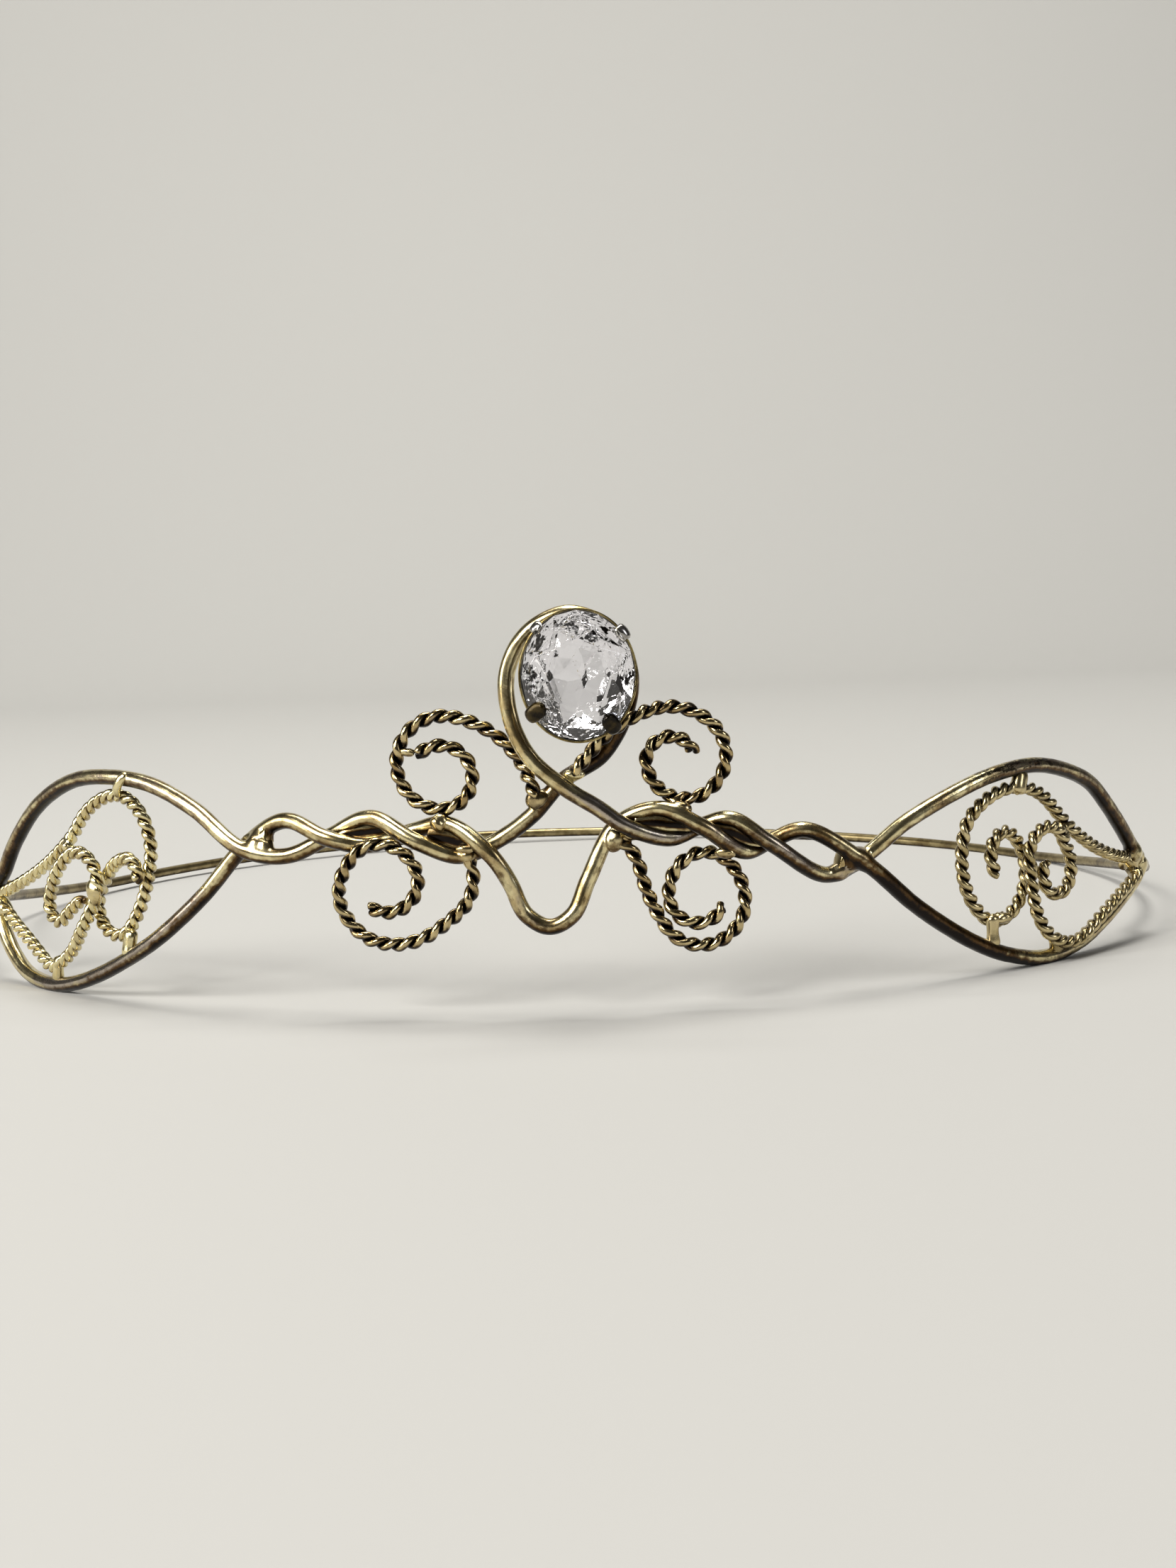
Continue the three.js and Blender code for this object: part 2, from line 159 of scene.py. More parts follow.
# Twisted-wire scrolls: start, heading, bends as [length, turn in degrees], depth at shares of
# the length, the lay of the twist, and how far the soldered root runs on, in millimetres
SCROLLS = {
    "scroll_upper_left": dict(
        start=[-3.0, 26.9], heading=116, lay=3.9, root=0.3, finish="scroll",
        bends=[[2.5, -2], [11.1, 52], [6.9, 66], [8.6, 89], [4.4, 51], [5.9, 88], [8.3, 127]],
        depth=[[0, 0.5], [0.08, -1.5], [0.16, -1.2], [0.28, 0], [0.66, -0.4], [0.85, 0], [1, 0.4]],
    ),
    "scroll_upper_right": dict(
        start=[2.3, 29.9], heading=49, lay=3.9, root=0.8, finish="scroll",
        bends=[[4.1, -3], [7.7, -38], [7.2, -52], [10.1, -108], [1.3, -23], [7.3, -79], [9.2, -178]],
        depth=[[0, 1.1], [0.06, 1.0], [0.16, 1.9], [0.3, 0], [0.5, 0], [0.66, -1.2], [0.8, 0], [1, 0]],
    ),
    "scroll_lower_left": dict(
        start=[-10.9, 18.2], heading=-76, lay=3.9, root=0.9, finish="scroll",
        bends=[[6.2, -64], [4.1, -8], [7.3, -48], [7.6, -82], [5.3, -33], [12, -161], [7.2, -101]],
        depth=[[0, 0], [0.4, 0], [0.56, 2.3], [0.72, 2.3], [0.86, 1.0], [1, 0.6]],
    ),
    "scroll_lower_right": dict(
        start=[7.9, 19.8], heading=-47, lay=3.9, root=1.5, finish="scroll",
        bends=[[2.8, -32], [7.9, 22], [9.9, 106], [9.5, 95], [8.1, 107], [1.3, 7], [10.1, 166]],
        depth=[[0, 0], [0.44, 0], [0.6, -1.6], [0.74, -0.6], [1, 0]],
    ),
    "right_eye_outer_scroll": dict(
        start=[88.4, 11.3], heading=171, lay=3.4, root=1.2, finish="right_eye",
        bends=[[7.1, -10], [14.4, -24], [16.3, 84], [2.6, 32], [13.5, 76], [1.7, 32],
               [15.1, 146], [8.8, 166]],
        depth=[[0, 0], [0.5, 0], [0.72, -1.0], [0.86, -1.0], [1, 0]],
    ),
    "right_eye_inner_scroll": dict(
        start=[88.7, 8.4], heading=-169, lay=3.4, root=1.2, finish="right_eye",
        bends=[[2.8, 7], [6.2, 4], [5.9, 4], [14.6, -107], [4.2, 1], [10.8, -153], [2.7, 11],
               [14.2, -256]],
        depth=[[0, 1.3], [0.16, 1.5], [0.42, 1.5], [0.68, 1.2], [0.82, 0.3], [1, 0.5]],
    ),
    "left_eye_outer_scroll": dict(
        start=[-87.9, 12.4], heading=16, lay=3.0, root=1.6, finish="left_eye",
        bends=[[18.1, 19], [2.9, 15], [8.7, -40], [12.5, -116], [10.7, -27], [10, -164],
               [9.5, -55], [4.6, -105]],
        depth=[[0, 0], [0.18, -0.7], [0.34, -0.7], [0.5, 0], [0.68, -1.0], [0.84, -1.0], [1, 1.6]],
    ),
    "left_eye_inner_scroll": dict(
        start=[-88.6, 9.2], heading=-29, lay=3.0, root=1.6, finish="left_eye",
        bends=[[5, 5], [7, -8], [3.1, 57], [14.8, 34], [10.5, 158], [8, 18], [5.7, 165], [5.5, -13]],
        depth=[[0, 0], [0.3, 0], [0.44, 1.2], [0.7, 1.2], [0.85, 0.3], [1, 0.3]],
    ),
}

# Fillets of solder: [along the ring, height, outward, radius]. Wires near one swell to meet it.
FILLETS = [
    [-38.2, 21.2, 0.1, 1.25], [-37.1, 21.3, 0.1, 1.05],
    [36.9, 16.7, 0.2, 1.45], [35.4, 16.4, 0.3, 1.3], [34.3, 15.4, 0.2, 1.05],
    [-2.9, 26.2, -0.9, 0.9], [1.6, 28.7, 0.1, 0.7],
    [8.0, 21.4, 0.2, 0.75], [6.1, 20.6, 0.1, 0.7], [14.1, 24.0, 0.1, 1.0], [19.6, 18.6, 0.3, 0.7],
    [-11.2, 19.6, 0.8, 0.7], [59.0, 7.0, 0.2, 0.9], [71.2, 16.7, 0.4, 0.8], [64.6, 12.6, 0.3, 0.75],
    [-64.1, 14.9, 0.4, 0.8], [-70.8, 19.5, 0.2, 0.7],
    [91.0, 11.4, 0.2, 1.2], [93.4, 10.0, 0.0, 1.2], [90.2, 9.6, 0.3, 1.1],
    [-91.6, 11.9, 0.2, 1.2], [-90.4, 10.4, 0.3, 1.2],
]
FILLET_BLEND = 0.8

# Lumps of solder: place on the flat layout, and reach along, up and outward
LUMPS = {
    "solder_web_left_corner": ([-38.5, 21.1, 0.0], [1.8, 1.3, 0.6]),
    "solder_web_right_corner": ([36.4, 16.5, 0.4], [1.8, 1.2, 0.7]),
    "solder_tip_left": ([-92.0, 10.9, 0.0], [1.8, 1.8, 1.0]),
    "solder_tip_right": ([91.8, 10.2, -0.2], [1.9, 1.5, 1.05]),
    "solder_ball_left": ([-14.6, 23.5, 0.5], [1.05, 1.0, 0.95]),
    "solder_spot_left": ([-11.4, 20.5, 1.1], [1.0, 0.6, 0.6]),
    "solder_lump_back": ([-2.7, 26.0, -0.3], [1.3, 1.35, 1.0]),
    "solder_neck_back": ([-3.2, 27.3, -0.15], [0.6, 1.0, 0.6]),
    "solder_web_loop": ([1.7, 28.8, 0.0], [1.2, 0.7, 0.65]),
    "solder_spot_loop": ([8.1, 21.7, 0.75], [1.25, 0.85, 0.75]),
    "solder_lump_dip": ([6.2, 20.8, 0.15], [1.15, 1.4, 0.85]),
    "solder_lump_scroll": ([14.0, 24.2, 0.3], [1.5, 0.85, 0.95]),
    "solder_spot_scroll": ([19.6, 18.7, 0.7], [1.3, 0.65, 0.75]),
    "solder_join_scroll": ([-18.1, 32.0, 0.1], [1.0, 0.5, 0.5]),
    "solder_lump_right_eye": ([59.1, 6.9, 0.4], [1.3, 0.75, 0.8]),
    "solder_join_right_eye": ([64.5, 12.8, 0.4], [0.7, 1.1, 0.7]),
    "solder_lump_left_eye": ([-64.1, 14.1, 1.5], [1.2, 1.6, 0.6]),
    "solder_join_left_eye": ([-70.7, 19.6, 0.3], [0.8, 0.8, 0.7]),
}

# Where solder closes the slit between the two twisted wires: from, to along the ring, half
# thickness, and share of painted shade with grime in its middle
CLOSED_SLITS = [
    [-27.2, -19.0, 0.5, 1], [-16.0, -9.0, 0.5, 1], [8.8, 15.6, 0.5, 1], [18.0, 24.6, 0.5, 1],
    [-41.0, -36.5, 0.8, 0], [34.0, 38.6, 0.95, 0],
]

# Short soldered tabs that hold the scrolls to the limbs: route, half widths at start, middle, end
TABS = {
    "tab_left_top": ([[-59.8, 26.4, 0.3], [-59.4, 27.2, 0.9], [-58.7, 28.3, 1.05],
                      [-58.1, 29.1, 0.75], [-57.9, 29.4, 0.3]], 0.78, 0.6, 0.6),
    "tab_left_bottom": ([[-59.3, 9.4, -0.3], [-59.5, 7.6, 0.0], [-59.6, 5.9, 0.1]], 1.2, 1.0, 1.5),
    "tab_left_lower": ([[-74.6, 4.7, 0.0], [-74.8, 3.0, 0.1], [-75.0, 1.4, 0.1]], 1.0, 0.85, 1.35),
    "tab_right_top": ([[62.0, 22.5, 0.3], [62.5, 23.7, 0.25], [63.0, 24.8, 0.1],
                       [63.1, 25.4, 0.0]], 1.55, 1.15, 1.25),
    "tab_right_bottom": ([[57.6, 7.5, 0.0], [57.5, 5.4, 0.0], [57.6, 3.3, 0.0]], 1.35, 0.85, 1.4),
    "tab_right_lower": ([[68.9, 3.5, 0.6], [69.4, 2.2, 0.4], [69.8, 1.2, 0.2]], 1.2, 1.1, 1.4),
}

# Claws of the setting: angle round the stone, half widths at root and tip, how far they stand off
# the girdle, how far they reach in over the crown, darkness and bare metal
CLAWS = [
    [38, 0.9, 1.0, 0.5, 0.6, 0.15, 0.95],
    [133, 0.7, 0.8, 0.45, 0.4, 0.2, 0.9],
    [215, 0.8, 1.05, 0.34, 1.6, 0.7, 0.0],
    [306, 0.8, 1.0, 0.3, 1.6, 0.88, 0.0],
]

# Tiers under the stone's girdle: share of its outline, share of its depth, turn in steps, and how
# far a corner may move up or down. Then the flat on its edges.
STONE_TIERS = [(0.74, 0.44, 0.5, 0.2), (0.46, 0.74, 0, 0.42), (0.22, 0.86, 0.5, 0.5)]
STONE_BEVEL = 0.03

# Tarnish, bare metal and scratches along the two long wires: [length run, share]. Where a
# tarnish share is below zero, it takes painted shade away.
LOOP_MARKS = dict(
    tarnish_and_shade=[[0, 0.4], [20, 0.5], [32, 0.4], [46, 0.28], [60, 0.2], [96, 0.3], [102, 0.75],
             [112, 0.85], [124, 0.8], [130, 0.3], [138, -0.15], [154, -0.3], [163, 0.1], [176, 0.3],
             [188, 0.4], [199, 0.5], [206, 0.2], [219, 0.25], [226, 0.5], [240, 0.52],
             [258, 0.55], [266, 0.15]],
    bare=[[0, 0.3], [24, 0.6], [44, 0.5], [58, 0.3], [66, 0.3], [72, 0.5], [80, 0.1], [138, 0.0],
          [156, 0.1], [164, 0.85], [174, 0.8], [182, 0.2], [190, 0.8], [198, 0.5], [206, 0.1],
          [220, 0.2], [230, 0.7], [244, 0.6], [256, 0.2], [266, 0.0]],
    scuff=[[0, 0.2], [60, 0.1], [160, 0.4], [176, 0.3], [206, 0.3], [219, 0.5], [225, 1.0],
           [234, 0.9], [242, 0.3], [266, 0.2]],
)
DIP_MARKS = dict(
    tarnish_and_shade=[[0, -0.15], [12, -0.05], [22, 0.3], [40, 0.32], [56, 0.45], [62, 0.45], [68, 0.25],
             [98, 0.2], [106, 0.1], [111, 0.4], [117, 0.25], [126, 0.2], [140, 0.3], [150, 0.45],
             [160, 0.6], [168, 0.95], [188, 0.9], [196, 0.3], [206, -0.1], [227, -0.25]],
    bare=[[0, 0.0], [12, 0.4], [24, 0.8], [50, 0.8], [64, 0.3], [98, 0.1], [104, 0.5],
          [112, 0.4], [118, 0.1], [136, 0.2], [143, 0.6], [150, 0.2], [190, 0.1], [200, 0.5],
          [210, 0.3], [227, 0.1]],
    scuff=[[0, 0.1], [100, 0.2], [116, 0.5], [130, 0.3], [160, 0.3], [195, 0.5], [227, 0.2]],
)


def unit(vectors):
    """Each vector over its own length."""
    return vectors / np.linalg.norm(vectors, axis=-1, keepdims=True)


def eased(share, stops):
    """Value at a share between stops, eased at both: before + (after - before) times
    t * t * (3 - 2t)."""
    at, value = np.array(stops, float).T
    share = np.clip(share, at[0], at[-1])
    before = np.clip(np.searchsorted(at, share, side="right") - 1, 0, len(at) - 2)
    t = (share - at[before]) / (at[before + 1] - at[before])
    return value[before] + (value[before + 1] - value[before]) * t * t * (3 - 2 * t)


def step_up(value, low, high):
    """From 0 at low to 1 at high, eased at both: t * t * (3 - 2t)."""
    t = np.clip((value - low) / (high - low), 0, 1)
    return t * t * (3 - 2 * t)


def smooth_curve(points, per_span):
    """Centripetal spline through the points: on each span a cubic whose end slopes come from the
    neighbours, weighed by the square root of their distances."""
    points = np.array(points, float)
    first = 2 * points[0] - points[1]
    last = 2 * points[-1] - points[-2]
    padded = np.vstack([first, points, last])
    p0, p1, p2, p3 = padded[:-3], padded[1:-2], padded[2:-1], padded[3:]
    d0, d1, d2 = (np.sqrt(np.linalg.norm(b - a, axis=1))[:, None]
                  for a, b in ((p0, p1), (p1, p2), (p2, p3)))
    slope1 = ((p1 - p0) / d0 - (p2 - p0) / (d0 + d1) + (p2 - p1) / d1) * d1
    slope2 = ((p2 - p1) / d1 - (p3 - p1) / (d1 + d2) + (p3 - p2) / d2) * d1
    t = np.linspace(0, 1, per_span, endpoint=False)[None, :, None]
    c2 = -3 * p1 + 3 * p2 - 2 * slope1 - slope2
    c3 = 2 * p1 - 2 * p2 + slope1 + slope2
    spans = p1[:, None] + slope1[:, None] * t + c2[:, None] * t**2 + c3[:, None] * t**3
    return np.vstack([spans.reshape(-1, points.shape[1]), points[-1:]])


def run_of(points):
    """Length along a line up to each of its points."""
    steps = np.linalg.norm(np.diff(points, axis=0), axis=1)
    return np.concatenate([[0], np.cumsum(steps)])


def even(points, step):
    """The same line with points about one step apart."""
    run = run_of(points)
    count = int(math.ceil(run[-1] / step)) + 1
    at = np.linspace(0, run[-1], count)
    return np.stack([np.interp(at, run, column) for column in points.T], axis=1)


def band_plan():
    """Ellipse of the back band: half width, middle's y and first angle, from behind both tips."""
    half_width = RING_RADIUS - BAND_INSET
    reach = (RIGHT_TIP[0] - LEFT_TIP[0]) / 2 - TIP_OVERLAP
    root_radius = RING_RADIUS - MAIN_RADIUS - GAP - BAND_RADIUS
    turn = reach / RING_RADIUS
    first = math.asin(root_radius * math.sin(turn) / half_width)
    centre_y = -root_radius * math.cos(turn) + BAND_HALF_DEPTH * math.cos(first)
    return half_width, centre_y, first


# The ring's centre in the frame, found from the back of the band
CAD_SIDE_REACH = math.cos(math.pi / 8)
BAND_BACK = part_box("back_band")[1].y / MM
RING_MIDDLE_Y = BAND_BACK - (band_plan()[1] + BAND_HALF_DEPTH + BAND_RADIUS * CAD_SIDE_REACH)


def on_ring(places):
    """[along, height, outward] wrapped on the ring: angle = along / radius from the front."""
    s, h, w = np.asarray(places, float).T
    angle = s / RING_RADIUS
    radius = RING_RADIUS + w
    return np.stack([radius * np.sin(angle), RING_MIDDLE_Y - radius * np.cos(angle), h], axis=-1)


def outward(points):
    """Unit direction away from the ring's upright axis."""
    away = points - np.array([0, RING_MIDDLE_Y, 0])
    return unit(away * np.array([1, 1, 0]))


def long_wire_route(stations, step):
    """Spline through the stations on the flat layout, wrapped on the ring and smoothed again."""
    flat = even(smooth_curve(stations, 40), 1.0)
    return even(smooth_curve(on_ring(flat), 8), step)


def scroll_route(scroll, step=0.2):
    """Heading changes evenly along each bend, and the line is the running sum of short steps
    in that heading, wrapped on the ring. The root runs straight back from the start."""
    lengths, turns = np.array(scroll["bends"], float).T
    knots = np.concatenate([[0], np.cumsum(lengths)])
    headings = np.radians(scroll["heading"] + np.concatenate([[0], np.cumsum(turns)]))
    count = int(math.ceil(knots[-1] / step))
    run = np.linspace(0, knots[-1], count + 1)
    middle = (run[1:] + run[:-1]) / 2
    heading = np.interp(middle, knots, headings)
    move = np.stack([np.cos(heading), np.sin(heading)], axis=1) * (knots[-1] / count)
    flat = np.vstack([scroll["start"], scroll["start"] + np.cumsum(move, axis=0)])
    depth = eased(run / knots[-1], scroll["depth"])
    back = -np.array([math.cos(headings[0]), math.sin(headings[0])])
    away = np.arange(scroll["root"], 0, -step)[:, None]
    root = np.column_stack([scroll["start"] + away * back, np.full(len(away), depth[0])])
    return on_ring(np.vstack([root, np.column_stack([flat, depth])]))


def band_route(step):
    """Ellipse in plan. It falls from each tip's height by a power of the run, rises a little at
    the back by a squared cosine, and is lifted on the left by an eased step."""
    half_width, centre_y, first = band_plan()
    last = 2 * math.pi - first
    angle = np.linspace(first, last, 400)
    tip = np.where(angle < math.pi, RIGHT_TIP[1], LEFT_TIP[1])
    mean = (half_width + BAND_HALF_DEPTH) / 2
    run = mean * np.minimum(angle - first, last - angle)
    fall = np.maximum(0, 1 - run / BAND_FALL_LENGTH) ** BAND_FALL_POWER
    near_back = np.abs(angle - math.pi) < math.pi / 3
    rise = np.where(near_back, BAND_BACK_RISE * np.cos(1.5 * (angle - math.pi)) ** 2, 0)
    lift = BAND_LEFT_LIFT * step_up(angle, 0.8 * math.pi, 1.25 * math.pi)
    height = BAND_REST + lift + rise
    x = half_width * np.sin(angle)
    y = RING_MIDDLE_Y + centre_y - BAND_HALF_DEPTH * np.cos(angle)
    return even(np.column_stack([x, y, height + (tip - height) * fall]), step)


class Sweep:
    """A section carried along a route and closed at both ends by a low dome. A point is
    middle + reach * (cos a * out + sin a * side), with out the guide made square to the route."""

    def __init__(self, route, guide, radius, sides, dome=0.25):
        along = unit(np.gradient(route, axis=0))
        out = unit(guide - np.sum(guide * along, axis=1, keepdims=True) * along)
        radius = np.broadcast_to(np.asarray(radius, float), (len(route),))
        lean = np.radians([72, 48, 24])
        start = route[0] - along[0] * radius[0] * dome * np.sin(lean)[:, None]
        end = route[-1] + along[-1] * radius[-1] * dome * np.sin(lean[::-1])[:, None]
        self.middle = np.vstack([start, route, end])
        self.radius = np.concatenate([radius[0] * np.cos(lean), radius,
                                      radius[-1] * np.cos(lean[::-1])])
        repeat = np.concatenate([[0] * len(lean), np.arange(len(route)), [-1] * len(lean)])
        self.along = along[repeat]
        self.out = out[repeat]
        self.side = np.cross(self.along, self.out)
        self.run = run_of(route)[repeat]
        self.poles = np.stack([route[0] - along[0] * radius[0] * dome,
                               route[-1] + along[-1] * radius[-1] * dome])
        self.turn = np.arange(sides) * 2 * math.pi / sides
        self.normal = (np.cos(self.turn)[None, :, None] * self.out[:, None]
                       + np.sin(self.turn)[None, :, None] * self.side[:, None])
        self.reach = np.repeat(self.radius[:, None], sides, axis=1)

    def points(self):
        return self.middle[:, None] + self.reach[..., None] * self.normal

    def grain(self):
        """Place in millimetres along the wire and across its section, for lengthwise streaks."""
        across = self.radius[:, None]
        return np.stack([np.broadcast_to(self.run[:, None], self.reach.shape),
                         across * np.cos(self.turn)[None], across * np.sin(self.turn)[None]], -1)

    def flatten(self, thick, wide):
        """Ellipse section: reach = thick * wide / root of ((wide cos a)^2 + (thick sin a)^2)."""
        rounding = (self.radius / self.radius.max())[:, None]
        cosine, sine = np.cos(self.turn)[None], np.sin(self.turn)[None]
        self.reach = rounding * thick * wide / np.sqrt((wide * cosine) ** 2 + (thick * sine) ** 2)

    def faces(self):
        """Four-cornered faces between rings, and a fan of triangles round each pole."""
        rings, sides = self.reach.shape
        ring = np.arange(rings - 1)[:, None] * sides
        here = np.arange(sides)[None]
        there = (here + 1) % sides
        quads = np.stack([ring + here, ring + there, ring + sides + there, ring + sides + here], -1)
        low, high = rings * sides, rings * sides + 1
        last = (rings - 1) * sides
        caps = np.concatenate([
            np.stack([np.full(sides, low), there[0], here[0]], -1),
            np.stack([np.full(sides, high), last + here[0], last + there[0]], -1),
        ])
        return quads.reshape(-1, 4).tolist() + caps.tolist()


def swell_to_solder(sweep):
    """How far a wire's surface moves out along its normal until the smooth union of the wire
    and a ball of solder is reached: repeated steps of minus the union's distance."""
    points = sweep.points()
    total = np.zeros(sweep.reach.shape)
    for along, height, out, radius in FILLETS:
        centre = on_ring([[along, height, out]])[0]
        near = np.linalg.norm(points - centre, axis=2) < radius + 2.5 * FILLET_BLEND
        if not near.any():
            continue
        base, normal = points[near], sweep.normal[near]
        move = np.zeros(len(base))
        for _ in range(24):
            ball = np.linalg.norm(base + move[:, None] * normal - centre, axis=1) - radius
            overlap = np.maximum(FILLET_BLEND - np.abs(move - ball), 0) / FILLET_BLEND
            move = move - 0.8 * (np.minimum(move, ball) - overlap**2 * FILLET_BLEND / 4)
        total[near] = np.maximum(total[near], np.minimum(move, 0.9 * radius))
    return total


def nearest_gap(points, route):
    """Distance from each point to the nearest place of a wire's middle line."""
    flat = points.reshape(-1, 3)
    nearest = np.full(len(flat), 1e9)
    for part in np.array_split(route, max(1, len(route) // 60)):
        gaps = np.linalg.norm(flat[:, None] - part[None], axis=2)
        nearest = np.minimum(nearest, gaps.min(axis=1))
    return nearest.reshape(points.shape[:-1])


def ripples(run, turn, seed, amount):
    """Hand-bent unevenness: a sum of long waves along the wire and low lobes round it."""
    random = np.random.default_rng(seed)
    total = np.zeros((len(run), len(turn)))
    for wave in (2.3, 3.7, 6.1, 9.7, 17.0):
        phase = random.uniform(0, 2 * math.pi, 2)
        lobes = random.integers(0, 3)
        total += np.sin(2 * math.pi * run[:, None] / wave + phase[0] + lobes * turn[None] + phase[1])
    return amount * total / 5


def put_in_scene(name, data):
    thing = bpy.data.objects.new(name, data)
    bpy.context.scene.collection.objects.link(thing)
    return thing


def new_piece(name, corners, faces, attributes, material, smooth=True):
    """Mesh in metres from corners in millimetres. An attribute is a number or vector for each
    corner, or one number for all."""
    mesh = bpy.data.meshes.new(name)
    mesh.from_pydata(np.asarray(corners) * MM, [], faces)
    mesh.validate()
    for key, values in attributes.items():
        values = values if np.ndim(values) else np.full(len(corners), values)
        values = np.asarray(values, np.float32)
        kind, field = ("FLOAT_VECTOR", "vector") if values.shape[-1] == 3 else ("FLOAT", "value")
        layer = mesh.attributes.new(key, kind, "POINT")
        layer.data.foreach_set(field, values.ravel())
    mesh.polygons.foreach_set("use_smooth", np.full(len(mesh.polygons), smooth))
    mesh.materials.append(material)
    piece = put_in_scene(name, mesh)
    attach(piece, "root")
    return piece


def face_out(piece, bevel=0.0):
    """Turns every face outward, and takes its edges off by a narrow flat where a bevel is given."""
    shape = bmesh.new()
    shape.from_mesh(piece.data)
    bmesh.ops.recalc_face_normals(shape, faces=shape.faces)
    if bevel:
        bmesh.ops.bevel(shape, geom=shape.edges[:], offset=bevel * MM, segments=1, affect="EDGES")
    shape.to_mesh(piece.data)
    shape.free()


def sweep_piece(name, sweeps, marks, material):
    """One piece from several sweeps. marks holds, for each sweep and by name, values on its grid
    or one number for all of it."""
    corners, faces, layers = [], [], {}
    first = 0
    for sweep, values in zip(sweeps, marks):
        points = sweep.points()
        points[..., 2] = np.maximum(points[..., 2], 0)
        corners.append(np.vstack([points.reshape(-1, 3), sweep.poles]))
        faces += [[index + first for index in face] for face in sweep.faces()]
        for key, grid in {**values, "grain": sweep.grain()}.items():
            grid = grid if np.ndim(grid) else np.full(sweep.reach.shape, grid)
            grid = grid.reshape(*sweep.reach.shape, -1)
            ends = [grid[0].mean(axis=0), grid[-1].mean(axis=0)]
            layers.setdefault(key, []).append(np.vstack([grid.reshape(-1, grid.shape[-1]), ends]))
        first += len(corners[-1])
    layers = {key: np.concatenate(parts) for key, parts in layers.items()}
    return new_piece(name, np.vstack(corners), faces, layers, material)


# Colours

def linear(hex_colour):
    """sRGB hex to linear light, with a full alpha."""
    value = np.array([int(hex_colour[i:i + 2], 16) for i in (1, 3, 5)]) / 255
    light = np.where(value <= 0.04045, value / 12.92, ((value + 0.055) / 1.055) ** 2.4)
    return (*light.tolist(), 1.0)


def add(tree, kind, settings=(), values=(), links=()):
    """One node: its settings, its sockets' plain values, and the outputs linked into it."""
    node = tree.nodes.new(kind)
    for name, value in dict(settings).items():
        setattr(node, name, value)
    for socket, value in dict(values).items():
        node.inputs[socket].default_value = value
    for socket, source in dict(links).items():
        tree.links.new(source, node.inputs[socket])
    return node


# Places of the colour sockets on a mix node
MIX_FIRST, MIX_SECOND, MIX_RESULT = 6, 7, 2


def new_material(name):
    """An empty material with its one shader linked to the output."""
    material = bpy.data.materials.new(name)
    material.use_nodes = True
    tree = material.node_tree
    tree.nodes.clear()
    shader = add(tree, "ShaderNodeBsdfPrincipled")
    add(tree, "ShaderNodeOutputMaterial", links={"Surface": shader.outputs["BSDF"]})
    return material, tree, shader


